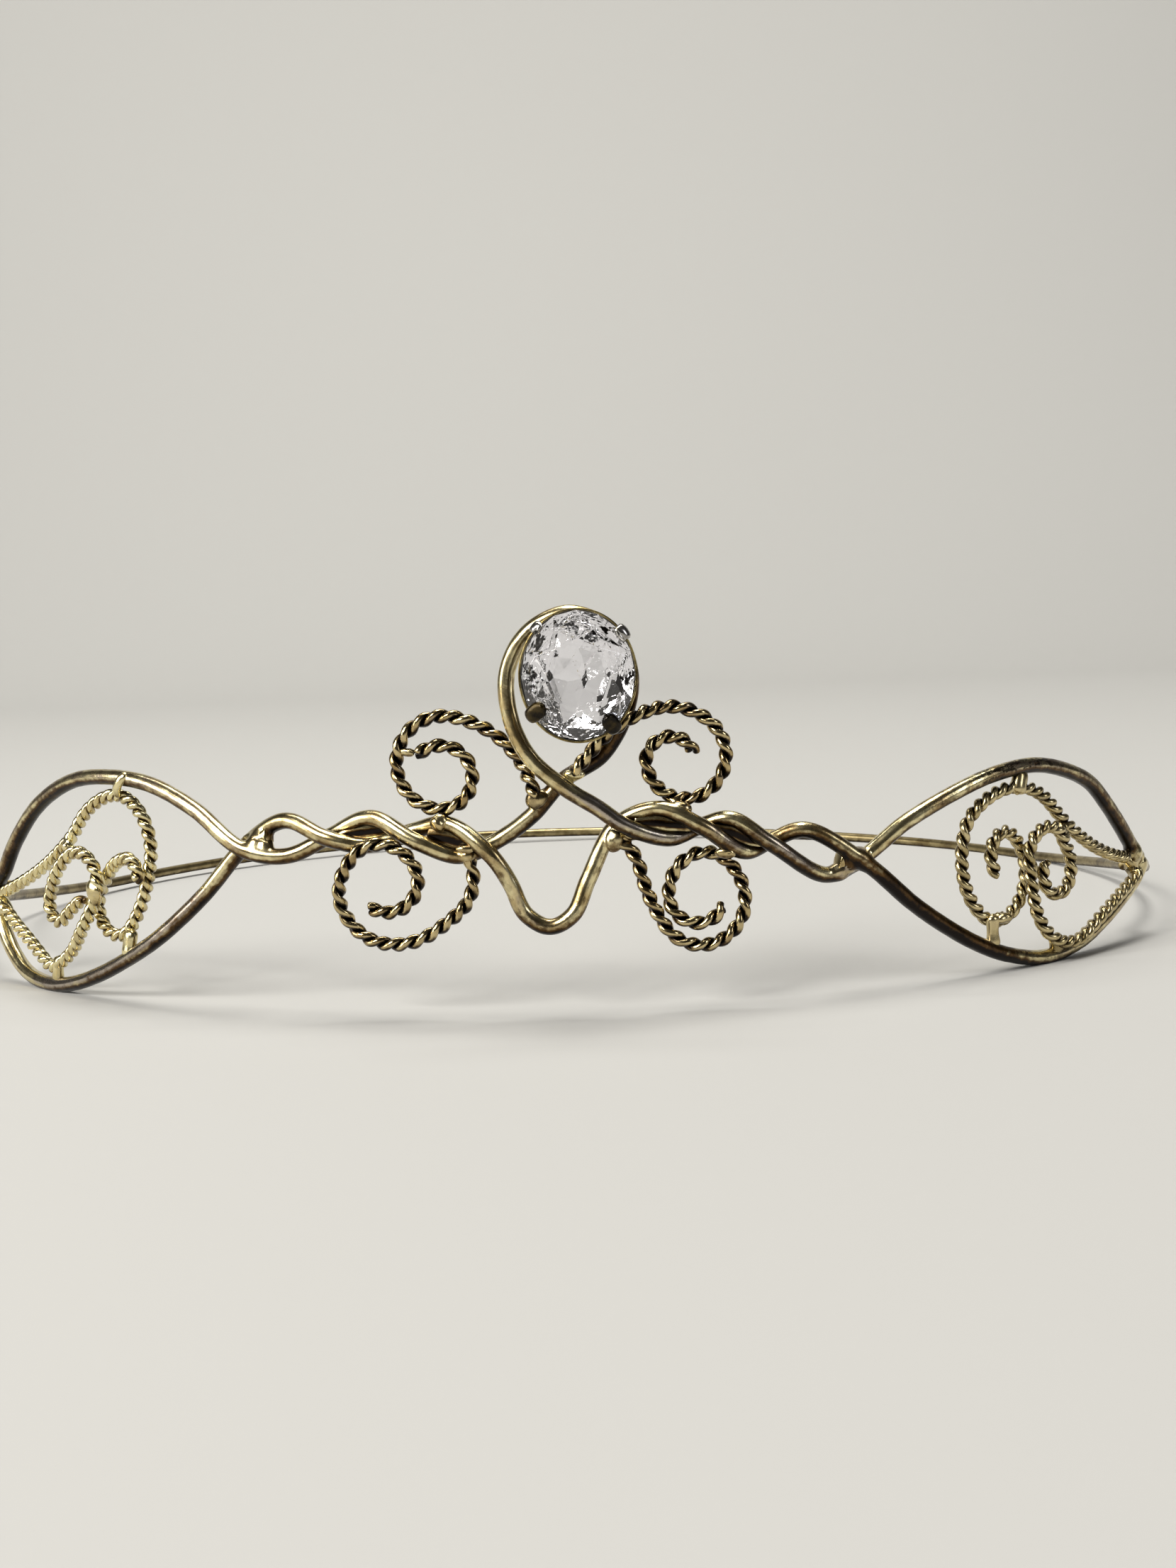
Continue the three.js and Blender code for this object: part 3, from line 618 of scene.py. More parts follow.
def aged_gilt_brass(name, gilt, brass, bare, film_and_shade, deep, gloss=0.22, mottle=1.0, pits=0.5):
    """Drawn brass wire, thinly gilt and handled for years. The eye sees pale gold with an olive
    cast, grey where the gilding is rubbed off, and a film where no finger reaches: olive brown
    where it is thin and nearly black where it is thick. The same two colours also paint the shade
    on undersides, in grooves and in recesses that the wires' marks carry. A thin clear coat over
    both gives the white streaks of a handled surface. Patches, speckle and pits lie in space,
    streaks and scratches along the wire."""
    material, tree, shader = new_material(name)
    place = add(tree, "ShaderNodeTexCoord").outputs["Object"]
    lengthwise = add(tree, "ShaderNodeAttribute", {"attribute_name": "grain"}).outputs["Vector"]

    def noise(scale, detail, vector):
        values = {"Scale": scale, "Detail": detail, "Roughness": 0.55}
        node = add(tree, "ShaderNodeTexNoise", values=values, links={"Vector": vector})
        return node.outputs["Fac"]

    def stretched(length, width):
        size = (1 / length, 1 / width, 1 / width)
        return add(tree, "ShaderNodeVectorMath", {"operation": "MULTIPLY"}, {1: size},
                   {0: lengthwise}).outputs["Vector"]

    patchy = noise(PER_METRE / PATCH_SIZE, 3.0, place)
    speckle = noise(PER_METRE / SPECKLE_SIZE, 4.0, place)
    pitted = noise(PER_METRE / PIT_SIZE, 2.0, place)
    streak = noise(1.0, 2.0, stretched(*STREAK_SIZE))
    scratch = noise(1.0, 3.0, stretched(*SCRATCH_SIZE))
    marks = {key: add(tree, "ShaderNodeAttribute", {"attribute_name": key}).outputs["Fac"]
             for key in ("tarnish_and_shade", "bare", "scuff")}

    def math_node(operation, *terms):
        plain = {i: t for i, t in enumerate(terms) if isinstance(t, (int, float))}
        linked = {i: t for i, t in enumerate(terms) if i not in plain}
        return add(tree, "ShaderNodeMath", {"operation": operation}, plain, linked).outputs[0]

    def ranged(source, low, high):
        return add(tree, "ShaderNodeMapRange", {"interpolation_type": "SMOOTHSTEP"},
                   {"From Min": low, "From Max": high}, {"Value": source}).outputs["Result"]

    def mixed(share, first, second):
        sockets = {MIX_FIRST: first, MIX_SECOND: second}
        plain = {k: v for k, v in sockets.items() if isinstance(v, tuple)}
        linked = {k: v for k, v in sockets.items() if k not in plain}
        return add(tree, "ShaderNodeMix", {"data_type": "RGBA"}, plain,
                   {0: share, **linked}).outputs[MIX_RESULT]

    def swing(source, amount):
        return math_node("MULTIPLY", math_node("SUBTRACT", source, 0.5), amount)

    base = mixed(ranged(patchy, 0.38, 0.64), linear(gilt), linear(brass))
    rubbed = math_node("ADD", marks["bare"], swing(patchy, 1.2))
    rubbed = math_node("ADD", rubbed, swing(streak, 0.8))
    base = mixed(ranged(rubbed, 0.35, 0.85), base, linear(bare))
    darkness = math_node("ADD", marks["tarnish_and_shade"], swing(speckle, 0.55 * mottle))
    darkness = math_node("ADD", darkness, swing(patchy, 0.55 * mottle))
    darkness = math_node("ADD", darkness, swing(streak, 0.6 * mottle))
    # Painted shade: the film colours also paint the shade that the tarnish mark carries
    film_and_shade_share = ranged(darkness, 0.18, 0.62)
    base = mixed(film_and_shade_share, base, linear(film_and_shade))
    base = mixed(ranged(darkness, 0.52, 0.95), base, linear(deep))
    spots = math_node("MULTIPLY", ranged(pitted, 0.6, 0.72), pits)
    spots = math_node("MULTIPLY", spots, ranged(darkness, 0.1, 0.5))
    base = mixed(spots, base, linear(deep))
    broken = math_node("ADD", scratch, swing(speckle, 0.7))
    scored = math_node("MULTIPLY", ranged(broken, 0.5, 0.58), marks["scuff"])
    base = mixed(math_node("MULTIPLY", scored, 0.85), base, linear(deep))
    dull = math_node("MULTIPLY_ADD", film_and_shade_share, 0.12, gloss)
    dull = math_node("ADD", dull, swing(speckle, 0.16))
    tree.links.new(base, shader.inputs["Base Color"])
    tree.links.new(dull, shader.inputs["Roughness"])
    shader.inputs["Metallic"].default_value = 1.0
    shader.inputs["Coat Weight"].default_value = 0.28
    shader.inputs["Coat Roughness"].default_value = 0.18
    relief = math_node("MULTIPLY_ADD", pitted, 0.35, speckle)
    relief = math_node("SUBTRACT", relief, math_node("MULTIPLY", scored, 0.6))
    bump = add(tree, "ShaderNodeBump", values={"Strength": 0.4, "Distance": 0.04 * MM},
               links={"Height": relief})
    tree.links.new(bump.outputs["Normal"], shader.inputs["Normal"])
    return material


def moulded_crystal_glass():
    """Clear lead glass, pressed and polished. Light bends through its facets, so it shows bright
    and grey patches, which a ripple from the mould makes softer."""
    material, tree, shader = new_material("moulded_crystal_glass")
    shader.inputs["Base Color"].default_value = linear("#f7f6fb")
    shader.inputs["Roughness"].default_value = 0.015
    shader.inputs["IOR"].default_value = 1.58
    shader.inputs["Transmission Weight"].default_value = 1.0
    place = add(tree, "ShaderNodeTexCoord").outputs["Object"]
    ripple = add(tree, "ShaderNodeTexNoise", links={"Vector": place},
                 values={"Scale": PER_METRE / MOULD_RIPPLE_SIZE, "Detail": 2.0})
    bump = add(tree, "ShaderNodeBump", values={"Strength": 0.7, "Distance": 0.14 * MM},
               links={"Height": ripple.outputs["Fac"]})
    tree.links.new(bump.outputs["Normal"], shader.inputs["Normal"])
    return material


WIRE_FINISH = aged_gilt_brass("aged_gilt_brass_wire", "#e4d7a8", "#bda775", "#aea498",
                              "#5a401b", "#110702")
SCROLL_FINISH = aged_gilt_brass("aged_gilt_brass_scroll", "#ccb98a", "#9c8456", "#a79b86",
                                "#3a2a15", "#0a0402", gloss=0.17, mottle=0.8)
LEFT_EYE_FINISH = aged_gilt_brass("bright_gilt_brass_twist", "#ebdfae", "#cdbb86", "#c9c2b0",
                                  "#6b5430", "#1d1207", gloss=0.22, mottle=0.5)
RIGHT_EYE_FINISH = aged_gilt_brass("olive_gilt_brass_twist", "#d3c294", "#aa9868", "#b4a88e",
                                   "#554222", "#160d05", gloss=0.25, mottle=0.6)
BAND_FINISH = aged_gilt_brass("dull_brass_band_wire", "#9d8e66", "#7a6a45", "#8d8471",
                              "#4a3b22", "#1a1008", gloss=0.36, mottle=0.8)
SETTING_FINISH = aged_gilt_brass("stamped_gilt_brass_setting", "#c9b67c", "#8f7c48", "#b6b3ae",
                                 "#43371b", "#0f0a04", gloss=0.2, mottle=1.2)
STONE_FINISH = moulded_crystal_glass()

# Twists by the finish that SCROLLS names: finish, darkness of the groove (painted shade with grime),
# and weight of the painted shade on the underside
TWISTS = {
    "scroll": (SCROLL_FINISH, 1.15, 0.7),
    "left_eye": (LEFT_EYE_FINISH, 0.68, 0.45),
    "right_eye": (RIGHT_EYE_FINISH, 0.85, 0.45),
}

# Lumps by how their name ends. The others have the wire's finish.
LUMP_FINISHES = {"back": SCROLL_FINISH, "left_eye": LEFT_EYE_FINISH, "right_eye": RIGHT_EYE_FINISH}
DARK_LUMPS = ("solder_lump_back", "solder_lump_dip")


# Long wires

loop_route = long_wire_route(LOOP_WIRE_ROUTE, MAIN_STEP)
dip_route = long_wire_route(DIP_WIRE_ROUTE, MAIN_STEP)


def long_wire(name, route, other, seed, stops):
    """Darkness adds up from tarnish stops along the wire, painted shade on the underside, painted
    shade and tarnish in the recess beside the other wire, and the inner side, and is less on
    solder. Gilding is rubbed off the outer side only."""
    sweep = Sweep(route, outward(route), MAIN_RADIUS, MAIN_SIDES)
    sweep.reach *= 1 + ripples(sweep.run, sweep.turn, seed, MAIN_RIPPLE)
    solder = swell_to_solder(sweep)
    points = sweep.points()
    away = nearest_gap(points, other[::3])
    sweep.reach += solder
    run = sweep.run[:, None]
    under = step_up(-sweep.normal[..., 2], 0.0, 0.85)
    front = np.sum(sweep.normal * outward(sweep.middle)[:, None], axis=2)
    recess = 1 - step_up(away, MAIN_RADIUS + 0.15, MAIN_RADIUS + 1.0)
    inner = step_up(-front, 0.0, 0.8)
    # Painted shade on the underside and in the recess beside the other wire, added to the tarnish
    # stops
    tarnish_and_shade = 0.75 * eased(run, stops["tarnish_and_shade"]) + 0.7 * under + 0.6 * recess + 0.25 * inner
    tarnish_and_shade *= 1 - 0.6 * step_up(solder, 0.05, 0.5)
    bare = eased(run, stops["bare"]) * step_up(front, -0.2, 0.8) * (1 - under)
    scuff = np.broadcast_to(eased(run, stops["scuff"]), sweep.reach.shape)
    values = dict(tarnish_and_shade=np.clip(tarnish_and_shade, 0, 1), bare=np.clip(bare, 0, 1), scuff=scuff)
    piece = sweep_piece(name, [sweep], [values], WIRE_FINISH)
    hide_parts(name)
    return piece


def back_band(seed):
    """Round wire behind the head, darker on its underside by painted shade."""
    route = band_route(BAND_STEP)
    guide = np.tile([0.0, 0.0, 1.0], (len(route), 1))
    sweep = Sweep(route, guide, BAND_RADIUS, BAND_SIDES)
    sweep.reach *= 1 + ripples(sweep.run, sweep.turn, seed, BAND_RIPPLE)
    under = step_up(-sweep.normal[..., 2], 0.0, 0.9)
    # Painted shade: the underside is darker
    values = dict(tarnish_and_shade=0.15 + 0.45 * under, bare=0.25, scuff=0.2)
    piece = sweep_piece("back_band", [sweep], [values], BAND_FINISH)
    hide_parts("back_band")
    return piece


def twisted_scroll(name, scroll, seed):
    """Two strands laid left-handed: each middle line is the scroll's own line plus the offset,
    turned by minus one turn for each lay, and the strands sit half a turn apart. The second ends
    half a millimetre before the first. Painted shade with some grime fills the groove, painted
    shade lies on the underside, and in the eyes both are less near the root."""
    finish, groove, underside = TWISTS[scroll["finish"]]
    route = even(smooth_curve(scroll_route(scroll), 4), STRAND_STEP)
    along = unit(np.gradient(route, axis=0))
    out = outward(route)
    out = unit(out - np.sum(out * along, axis=1, keepdims=True) * along)
    side = np.cross(along, out)
    run = run_of(route)
    random = np.random.default_rng(seed)
    start = random.uniform(0, 2 * math.pi)
    wobble = 0.18 * np.sin(2 * math.pi * run / 11.3 + random.uniform(0, 6))
    sweeps, marks = [], []
    for half in (0, 1):
        phase = start + wobble - 2 * math.pi * run / scroll["lay"] + half * math.pi
        reach = np.cos(phase)[:, None] * out + np.sin(phase)[:, None] * side
        strand = route + STRAND_OFFSET * reach
        keep = slice(0, len(strand) - int(half * 0.5 / STRAND_STEP))
        sweep = Sweep(strand[keep], out[keep], STRAND_WIRE / 2, STRAND_SIDES, dome=0.5)
        sweep.reach *= 1 + ripples(sweep.run, sweep.turn, seed + 50 + half, STRAND_RIPPLE)
        solder = swell_to_solder(sweep)
        near = nearest_gap(sweep.points(), route[::4])
        crest = step_up(near, 0.42, 0.8)
        under = step_up(-sweep.normal[..., 2], 0.1, 0.9)
        sweep.reach += solder
        dark = groove
        if finish is not SCROLL_FINISH:
            dark = dark * (0.4 + 0.6 * step_up(sweep.run, 10, 28))[:, None]
        # Painted shade: the groove between the strands, with some grime, and the strands' undersides
        tarnish_and_shade = dark * (1.05 - crest) + underside * under * dark
        tarnish_and_shade *= 1 - 0.6 * step_up(solder, 0.05, 0.4)
        sweeps.append(sweep)
        marks.append(dict(tarnish_and_shade=np.clip(tarnish_and_shade, 0, 1), bare=0.3 * crest, scuff=0.15))
    piece = sweep_piece(name, sweeps, marks, finish)
    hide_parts(name)
    return piece


def soldered_tab(name, stations, start, middle, end, seed):
    """A short bridge of solder. Its half width is the middle's, plus what the nearer end has
    more, times a power of the distance from the middle, and it rounds off at both ends. Outward
    it reaches a quarter less than sideways."""
    route = even(smooth_curve(on_ring(stations), 20), SMALL_STEP)
    share = run_of(route) / run_of(route)[-1]
    more = np.where(share < 0.5, start, end) - middle
    width = middle + more * np.abs(2 * share - 1) ** 2.2
    width = width * np.sqrt(1 - 0.96 * np.abs(2 * share - 1) ** 4)
    sweep = Sweep(route, outward(route), width, TAB_SIDES, dome=0.5)
    flat = 0.88 - 0.12 * np.cos(2 * sweep.turn)[None]
    sweep.reach *= flat * (1 + ripples(sweep.run, sweep.turn, seed, TAB_RIPPLE))
    under = step_up(-sweep.normal[..., 2], 0.1, 0.9)
    finish = LEFT_EYE_FINISH if "left" in name else RIGHT_EYE_FINISH
    # Painted shade: the underside of the tab is darker
    values = dict(tarnish_and_shade=0.1 + 0.4 * under, bare=0.2, scuff=0.15)
    piece = sweep_piece(name, [sweep], [values], finish)
    return piece


def solder_lump(name, place, size, seed):
    """A ball pulled to its three reaches along the ring, up and outward, with low hills:
    reach times one plus a few waves of the direction."""
    rows, sides = LUMP_ROWS, LUMP_SIDES
    lean = np.linspace(0, math.pi, rows + 2)[1:-1, None]
    turn = np.arange(sides)[None] * 2 * math.pi / sides
    ball = np.stack([np.sin(lean) * np.cos(turn), np.sin(lean) * np.sin(turn),
                     np.cos(lean) + 0 * turn], -1)
    random = np.random.default_rng(seed)
    hills = sum(np.sin(ball @ random.normal(0, 2.2, 3) + random.uniform(0, 6)) for _ in range(4))
    ball *= (1 + 0.06 * hills)[..., None]
    centre = on_ring([place])[0]
    out = outward(centre[None])[0]
    along = np.array([-out[1], out[0], 0])
    axes = np.array([along, [0, 0, 1], out]) * np.array(size)[:, None]
    poles = np.array([[0, 0, 1.0], [0, 0, -1.0]])
    corners = np.vstack([ball.reshape(-1, 3), poles]) @ axes + centre
    corners[:, 2] = np.maximum(corners[:, 2], 0)
    here = np.arange(sides)
    there = (here + 1) % sides
    ring = np.arange(rows - 1)[:, None] * sides
    quads = np.stack([ring + here, ring + sides + here, ring + sides + there, ring + there], -1)
    top, base, last = rows * sides, rows * sides + 1, (rows - 1) * sides
    caps = [[top, int(a), int(b)] for a, b in zip(here, there)]
    caps += [[base, int(last + b), int(last + a)] for a, b in zip(here, there)]
    height = (corners[:, 2] - centre[2]) / size[1]
    dark = 0.35 if name in DARK_LUMPS else 0.12
    # Painted shade: the lower half of the lump is darker
    layers = dict(tarnish_and_shade=dark + 0.3 * step_up(-height, 0.1, 0.95), bare=0.25, scuff=0.1,
                  grain=(corners - centre) * 0.5)
    finish = WIRE_FINISH
    for ending, other in LUMP_FINISHES.items():
        finish = other if name.endswith(ending) else finish
    piece = new_piece(name, corners, quads.reshape(-1, 4).tolist() + caps, layers, finish)
    return piece


def closed_slit(name, first, last, thick, shade_and_grime, seed):
    """A wall of solder midway between both long wires. Its half height is half their distance at
    each place along the ring, and thick is its half thickness. Where painted shade with grime
    blackens its middle, it is set back by 0.3 mm."""
    along = np.arange(first, last, SLIT_STEP)
    flats = []
    for stations in (LOOP_WIRE_ROUTE, DIP_WIRE_ROUTE):
        line = even(smooth_curve(stations, 40), 0.2)
        line = line[(line[:, 1] < 27) & (line[:, 0] > first - 2) & (line[:, 0] < last + 2)]
        line = line[np.argsort(line[:, 0])]
        flats.append(np.column_stack([along, np.interp(along, line[:, 0], line[:, 1]),
                                      np.interp(along, line[:, 0], line[:, 2])]))
    middle = (flats[0] + flats[1]) / 2 - [0, 0, 0.3 * shade_and_grime]
    half_high = np.maximum(np.abs(flats[0][:, 1] - flats[1][:, 1]) / 2, 0.4)
    route = on_ring(middle)
    sweep = Sweep(route, outward(route), 0.5, SLIT_SIDES, dome=0.3)
    high = np.interp(sweep.run, run_of(route), half_high)[:, None]
    sweep.flatten(thick, high)
    sweep.reach *= 1 + ripples(sweep.run, sweep.turn, seed, SLIT_RIPPLE)
    off_middle = np.abs(sweep.reach * np.sin(sweep.turn)[None]) / high
    # Painted shade with grime: the middle of the slit is blackened
    black = 1 - step_up(off_middle, 0.12, 0.34)
    values = dict(tarnish_and_shade=0.1 + shade_and_grime * (0.25 + 0.65 * black), bare=0.0, scuff=0.1 + 0.2 * shade_and_grime)
    piece = sweep_piece(name, [sweep], [values], WIRE_FINISH)
    return piece


# Stone and setting, in the stone's own frame: x right, y up, z out of the table

def in_setting(points):
    """From the stone's own frame to the ring: tip the table outward, turn to the place, move."""
    tip = Matrix.Rotation(math.radians(90 - STONE_LEAN), 3, "X")
    face = Matrix.Rotation(STONE_S / RING_RADIUS, 3, "Z")
    depth = MAIN_RADIUS + GAP + SETTING_STAND + COLLAR_DROP + STONE_GIRDLE
    centre = on_ring([[STONE_S, STONE_H, depth]])[0]
    return np.asarray(points) @ np.array(face @ tip).T + centre


def oval(share, depth, turn, count=8):
    """Corners round the stone's outline: a share of its half sizes, turned by a part of a step."""
    angle = (np.arange(count) + turn) * 2 * math.pi / count
    return np.column_stack([share * STONE_WIDTH / 2 * np.cos(angle),
                            share * STONE_HEIGHT / 2 * np.sin(angle), np.full(count, depth)])


def cut_stone(seed):
    """Oval stone pressed in a mould. In the crown a kite's corners lie in the plane through its
    table corner and girdle corner. Under the girdle are four tiers of triangles, steep at first
    and flatter near the point, and the corners between them are moved by up to 0.5 mm."""
    half_turn = math.cos(math.pi / 8)
    star_reach = 0.80
    star_height = STONE_CROWN * (1 - (star_reach * half_turn - STONE_TABLE) / (1 - STONE_TABLE))
    low = -STONE_GIRDLE
    random = np.random.default_rng(seed)
    tiers = [oval(share, low - fall * STONE_PAVILION, turn)
             + random.uniform(-1, 1, (8, 3)) * [0.4, 0.4, move]
             for share, fall, turn, move in STONE_TIERS]
    rings = [oval(STONE_TABLE, STONE_CROWN, 0), oval(star_reach, star_height, 0.5),
             oval(1, 0, 0), oval(1, 0, 0.5), oval(1, low, 0), oval(1, low, 0.5), *tiers,
             [[0.5, -0.4, low - STONE_PAVILION]]]
    table, star, main, between, main_low, between_low, upper, waist, lower, keel = range(10)

    def at(ring, k):
        return ring * 8 + k % 8

    faces = [[at(table, k) for k in range(8)]]
    for k in range(8):
        faces += [
            [at(table, k), at(star, k), at(table, k + 1)],
            [at(table, k), at(star, k - 1), at(main, k), at(star, k)],
            [at(star, k), at(main, k), at(between, k)],
            [at(star, k), at(between, k), at(main, k + 1)],
            [at(main, k), at(main_low, k), at(between_low, k), at(between, k)],
            [at(between, k), at(between_low, k), at(main_low, k + 1), at(main, k + 1)],
            [at(upper, k), at(between_low, k), at(main_low, k)],
            [at(upper, k), at(main_low, k + 1), at(between_low, k)],
            [at(upper, k), at(upper, k + 1), at(main_low, k + 1)],
            [at(upper, k), at(waist, k), at(waist, k + 1)],
            [at(upper, k), at(waist, k + 1), at(upper, k + 1)],
            [at(lower, k), at(waist, k + 1), at(waist, k)],
            [at(lower, k), at(lower, k + 1), at(waist, k + 1)],
            [at(keel, 0), at(lower, k + 1), at(lower, k)],
        ]
    piece = new_piece("stone", in_setting(np.vstack(rings)), faces, {}, STONE_FINISH, smooth=False)
    face_out(piece, bevel=STONE_BEVEL)
    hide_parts("stone")
    return piece


def setting_cup(sides=96):
    """A thin oval wall that leans out to the girdle: a rounded profile carried round the oval."""
    low = -STONE_GIRDLE - COLLAR_DROP
    profile = np.array([[0.0, low + 0.15], [0.12, low], [0.38, low], [0.48, low + 0.2],
                        [0.46, low + 1.3], [0.52, -STONE_GIRDLE - 0.35], [0.5, -STONE_GIRDLE - 0.02],
                        [0.38, -STONE_GIRDLE + 0.06], [0.26, -STONE_GIRDLE - 0.04],
                        [0.22, low + 1.5], [0.02, low + 0.9]])
    share = np.where(profile[:, 1] > low + 1.4, 0.975, COLLAR_SHARE)
    angle = np.arange(sides) * 2 * math.pi / sides
    x = (share * STONE_WIDTH / 2 + profile[:, 0])[None] * np.cos(angle)[:, None]
    y = (share * STONE_HEIGHT / 2 + profile[:, 0])[None] * np.sin(angle)[:, None]
    z = np.broadcast_to(profile[:, 1], x.shape)
    count = len(profile)
    here = np.arange(sides)[:, None] * count
    there = (np.arange(sides)[:, None] + 1) % sides * count
    k = np.arange(count)[None]
    n = (k + 1) % count
    faces = np.stack([here + k, there + k, there + n, here + n], -1).reshape(-1, 4)
    return np.stack([x, y, z], -1).reshape(-1, 3), faces


def claw(degrees, root, tip, stand_off, reach_in):
    """A flat prong bent over the girdle: an ellipse section that widens to a rounded tip. The two
    upper ones start lower down the collar, are thinner and have blunter tips."""
    drop, tip_round, thickest = (0.5, 0.25, 0.36) if degrees < 180 else (0, 1.0, 0.5)
    angle = math.radians(degrees)
    low = -STONE_GIRDLE - COLLAR_DROP
    crown_slope = STONE_CROWN / ((1 - STONE_TABLE) * (STONE_WIDTH + STONE_HEIGHT) / 4)
    lie = 0.28
    places = [(COLLAR_SHARE, COLLAR_WALL, low - drop),
              (COLLAR_SHARE, COLLAR_WALL + 0.1, low + 0.9), (1, stand_off, -STONE_GIRDLE - 0.5),
              (1, stand_off, 0.15), (1, stand_off - 0.42, 0.55),
              (1, -0.5 * reach_in, lie + 0.06 + 0.5 * reach_in * crown_slope),
              (1, -reach_in, lie + reach_in * crown_slope)]
    points = [[(share * STONE_WIDTH / 2 + out) * math.cos(angle),
               (share * STONE_HEIGHT / 2 + out) * math.sin(angle), depth]
              for share, out, depth in places]
    route = even(smooth_curve(points, 12), SMALL_STEP)
    guide = np.array([math.cos(angle) * STONE_HEIGHT, math.sin(angle) * STONE_WIDTH, 4.0])
    sweep = Sweep(route, np.tile(unit(guide), (len(route), 1)), 0.3, CLAW_SIDES, dome=0.3)
    left = (run_of(route)[-1] - sweep.run)[:, None]
    share = 1 - left / run_of(route)[-1]
    wide = root + (tip - root) * step_up(share, 0.35, 0.75)
    rounding = tip * tip_round
    wide = wide * np.sqrt(1 - np.clip(1 - left / rounding, 0, 0.97) ** 2)
    sweep.flatten(np.minimum(thickest, 0.9 * wide), wide)
    return sweep


def stone_setting():
    """The collar, darkest low down, and its four claws as one stamped piece."""
    cup, cup_faces = setting_cup()
    corners, faces = [in_setting(cup)], cup_faces.tolist()
    tarnish_and_shade = [0.85 - 0.6 * step_up(cup[:, 2], -1.0, -0.4)]
    bare = [np.zeros(len(cup))]
    first = len(cup)
    for degrees, root, tip, stand_off, reach_in, darkened, rubbed in CLAWS:
        sweep = claw(degrees, root, tip, stand_off, reach_in)
        corners.append(in_setting(np.vstack([sweep.points().reshape(-1, 3), sweep.poles])))
        faces += [[index + first for index in face] for face in sweep.faces()]
        amount = len(corners[-1])
        first += amount
        tarnish_and_shade.append(np.full(amount, darkened))
        bare.append(np.full(amount, rubbed))
    corners = np.vstack(corners)
    layers = dict(tarnish_and_shade=np.concatenate(tarnish_and_shade), bare=np.concatenate(bare), scuff=0.1,
                  grain=corners * 0.5)
    piece = new_piece("stone_setting", corners, faces, layers, SETTING_FINISH)
    face_out(piece)
    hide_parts("stone_setting")
    return piece


# Every piece, each with a seed of its own
long_wire("loop_wire", loop_route, dip_route, 1, LOOP_MARKS)
long_wire("dip_wire", dip_route, loop_route, 2, DIP_MARKS)
back_band(seed=7)
for seed, (name, scroll) in enumerate(SCROLLS.items(), 10):
    twisted_scroll(name, scroll, seed)
for seed, (name, (stations, start, middle, end)) in enumerate(TABS.items(), 30):
    soldered_tab(name, stations, start, middle, end, seed)
for seed, (name, (place, size)) in enumerate(LUMPS.items(), 60):
    solder_lump(name, place, size, seed)
for number, (first, last, thick, shade_and_grime) in enumerate(CLOSED_SLITS, 1):
    closed_slit(f"closed_slit_{number}", first, last, thick, shade_and_grime, 90 + number)
stone_setting()
cut_stone(seed=5)


# Studio: a pale sweep, soft lights and the camera at the photograph's angle

def studio_sweep():
    """Floor that turns up into a wall by a quarter circle. In metres: half width, near edge,
    start and radius of the bend, and height. Its matt paper has hardly any shine, and its tone
    drifts by a shade over two thirds of a metre."""
    half, near, bend, radius, top = 2.8, -2.8, 0.6, 0.45, 1.0
    turn = np.linspace(0, math.pi / 2, 33)
    y = np.concatenate([[near], bend + radius * np.sin(turn), [bend + radius]])
    z = np.concatenate([[0], radius * (1 - np.cos(turn)), [top]])
    corners = np.vstack([np.column_stack([np.full(len(y), x), y, z]) for x in (-half, half)])
    count = len(y)
    k = np.arange(count - 1)
    faces = np.stack([k, k + count, k + count + 1, k + 1], -1).tolist()
    mesh = bpy.data.meshes.new("studio_sweep")
    mesh.from_pydata(corners, [], faces)
    mesh.polygons.foreach_set("use_smooth", np.full(len(faces), True))
    sweep = put_in_scene("studio_sweep", mesh)
    material, tree, shader = new_material("matt_paper_sweep")
    place = add(tree, "ShaderNodeTexCoord").outputs["Object"]
    tone = add(tree, "ShaderNodeTexNoise", values={"Scale": 1.5, "Detail": 1.0},
               links={"Vector": place})
    colour = add(tree, "ShaderNodeMix", {"data_type": "RGBA"},
                 {MIX_FIRST: linear("#b7b7b4"), MIX_SECOND: linear("#b0afac")},
                 {0: tone.outputs["Fac"]})
    tree.links.new(colour.outputs[MIX_RESULT], shader.inputs["Base Color"])
    shader.inputs["Roughness"].default_value = 0.9
    shader.inputs["Specular IOR Level"].default_value = 0.1
    mesh.materials.append(material)


def stood(side, up, back, place):
    """Matrix whose columns are the three axes and the place."""
    return Matrix(np.column_stack([side, up, back, place]).tolist() + [[0, 0, 0, 1]])


def softbox(name, place, aim, width, height, power, colour):
    """Flat soft light at a place in metres that faces its aim, with its power in watts."""
    light = bpy.data.lights.new(name, "AREA")
    light.shape = "RECTANGLE"
    light.size, light.size_y = width, height
    light.energy = power
    light.color = linear(colour)[:3]
    box = put_in_scene(name, light)
    back = unit(np.array(place, float) - np.array(aim, float))
    side = unit(np.cross([0, 0, 1], back))
    box.matrix_world = stood(side, np.cross(back, side), back, place)


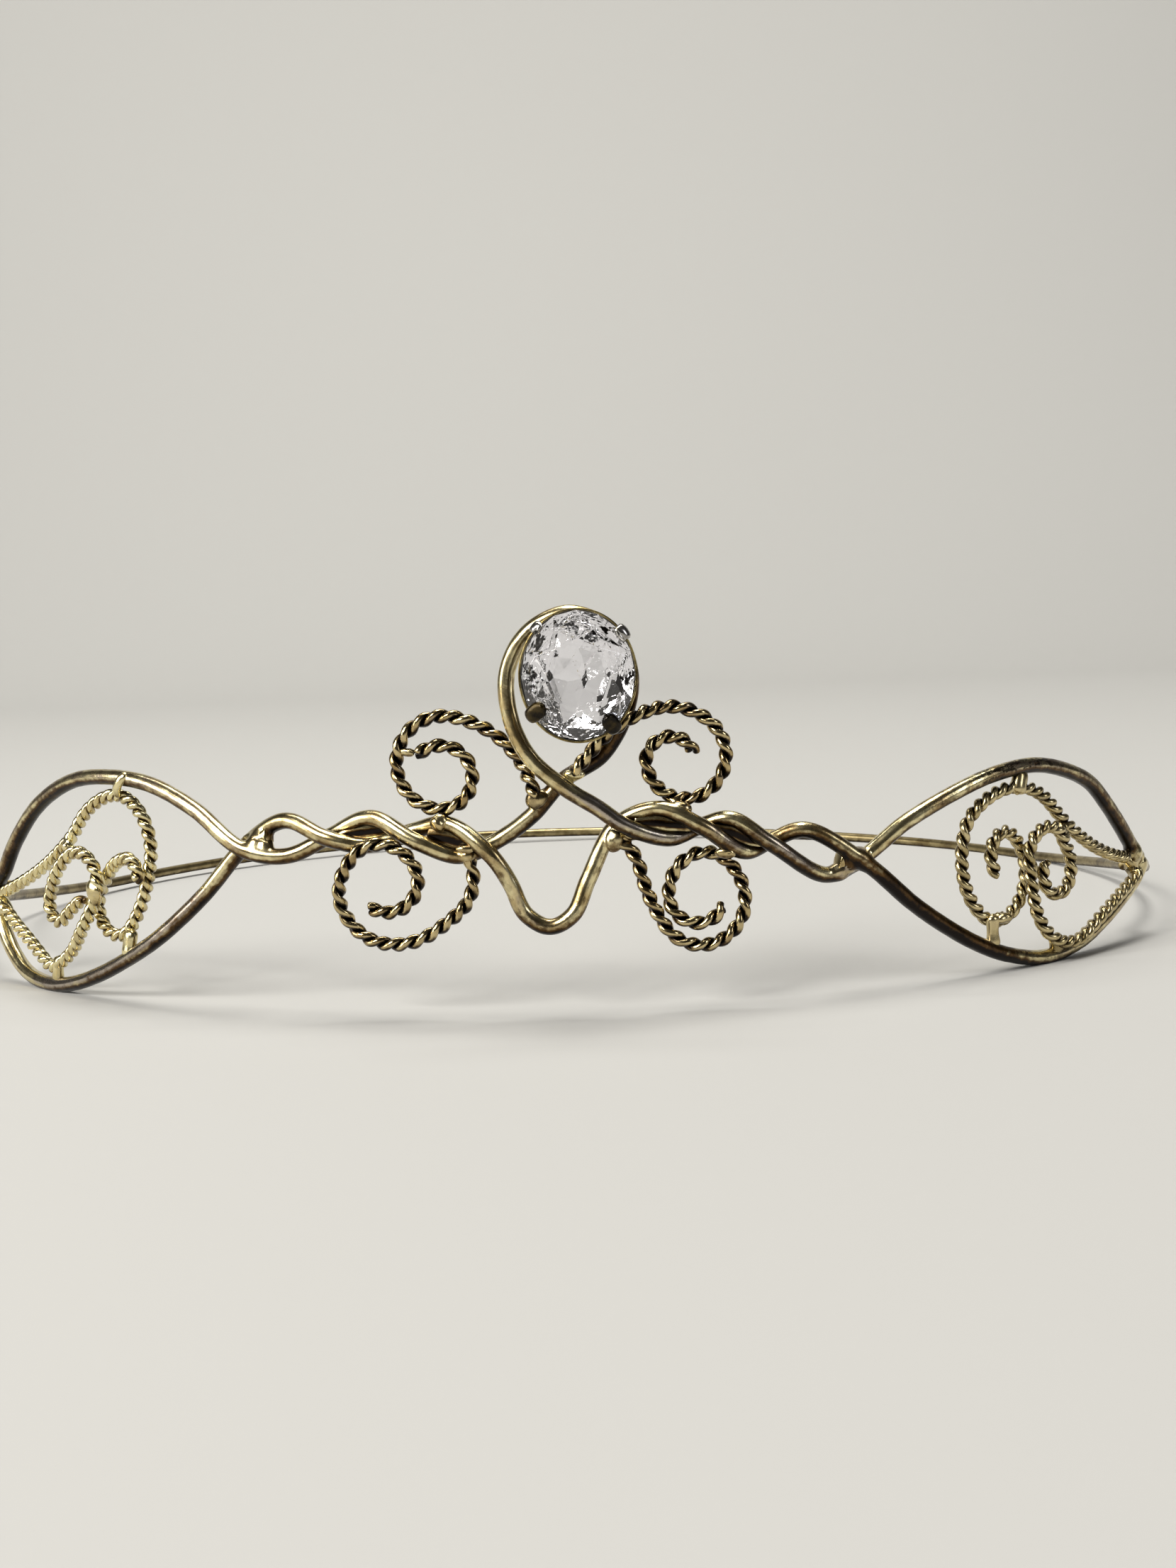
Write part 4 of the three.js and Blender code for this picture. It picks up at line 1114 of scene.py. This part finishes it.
def photo_camera():
    """Camera at the photograph's place: pitched down, rolled, and with its lens from the
    focal length in pixels of the long side."""
    pitch, roll, yaw = (math.radians(turn) for turn in (CAMERA_PITCH, CAMERA_ROLL, CAMERA_YAW))
    ahead = np.array([math.sin(yaw) * math.cos(pitch), math.cos(yaw) * math.cos(pitch),
                      -math.sin(pitch)])
    level = np.array([math.cos(yaw), -math.sin(yaw), 0])
    above = np.cross(level, ahead)
    right = math.cos(roll) * level + math.sin(roll) * above
    up = -math.sin(roll) * level + math.cos(roll) * above
    place = (np.array(CAMERA_PLACE) + [0, RING_MIDDLE_Y, 0]) * MM
    camera = bpy.data.cameras.new("camera")
    camera.sensor_width = SENSOR_SIZE
    camera.lens = SENSOR_SIZE * FOCAL_LENGTH_PIXELS / LONG_SIDE_PIXELS
    camera.clip_start = 0.01
    eye = put_in_scene("camera", camera)
    eye.matrix_world = stood(right, up, -ahead, place)
    bpy.context.scene.camera = eye


def room_light(colour, strength):
    """Even light from all sides."""
    world = bpy.data.worlds.new("studio")
    world.use_nodes = True
    tree = world.node_tree
    tree.nodes.clear()
    glow = add(tree, "ShaderNodeBackground", values={"Color": linear(colour), "Strength": strength})
    add(tree, "ShaderNodeOutputWorld", links={"Surface": glow.outputs[0]})
    bpy.context.scene.world = world


studio_sweep()
softbox("key", (-0.65, -0.8, 0.75), (0, 0, 0.03), 0.55, 0.45, 16.5, "#fffcf7")
softbox("top", (0.05, 0.0, 1.1), (0, 0.0, 0), 0.5, 0.3, 6.5, "#fffcf7")
softbox("fill", (0.95, -0.5, 0.45), (0, 0, 0.03), 0.25, 0.5, 1.6, "#f6f8ff")
softbox("left_fill", (-0.95, -0.35, 0.3), (0, 0, 0.03), 0.5, 0.45, 4.0, "#fffdf8")
softbox("wall_wash", (0.0, 0.35, 1.2), (0, 1.05, 0.4), 1.2, 0.3, 9.5, "#fffdf8")
room_light("#c9c4ba", 0.06)
photo_camera()
bpy.context.scene.view_settings.view_transform = "Standard"
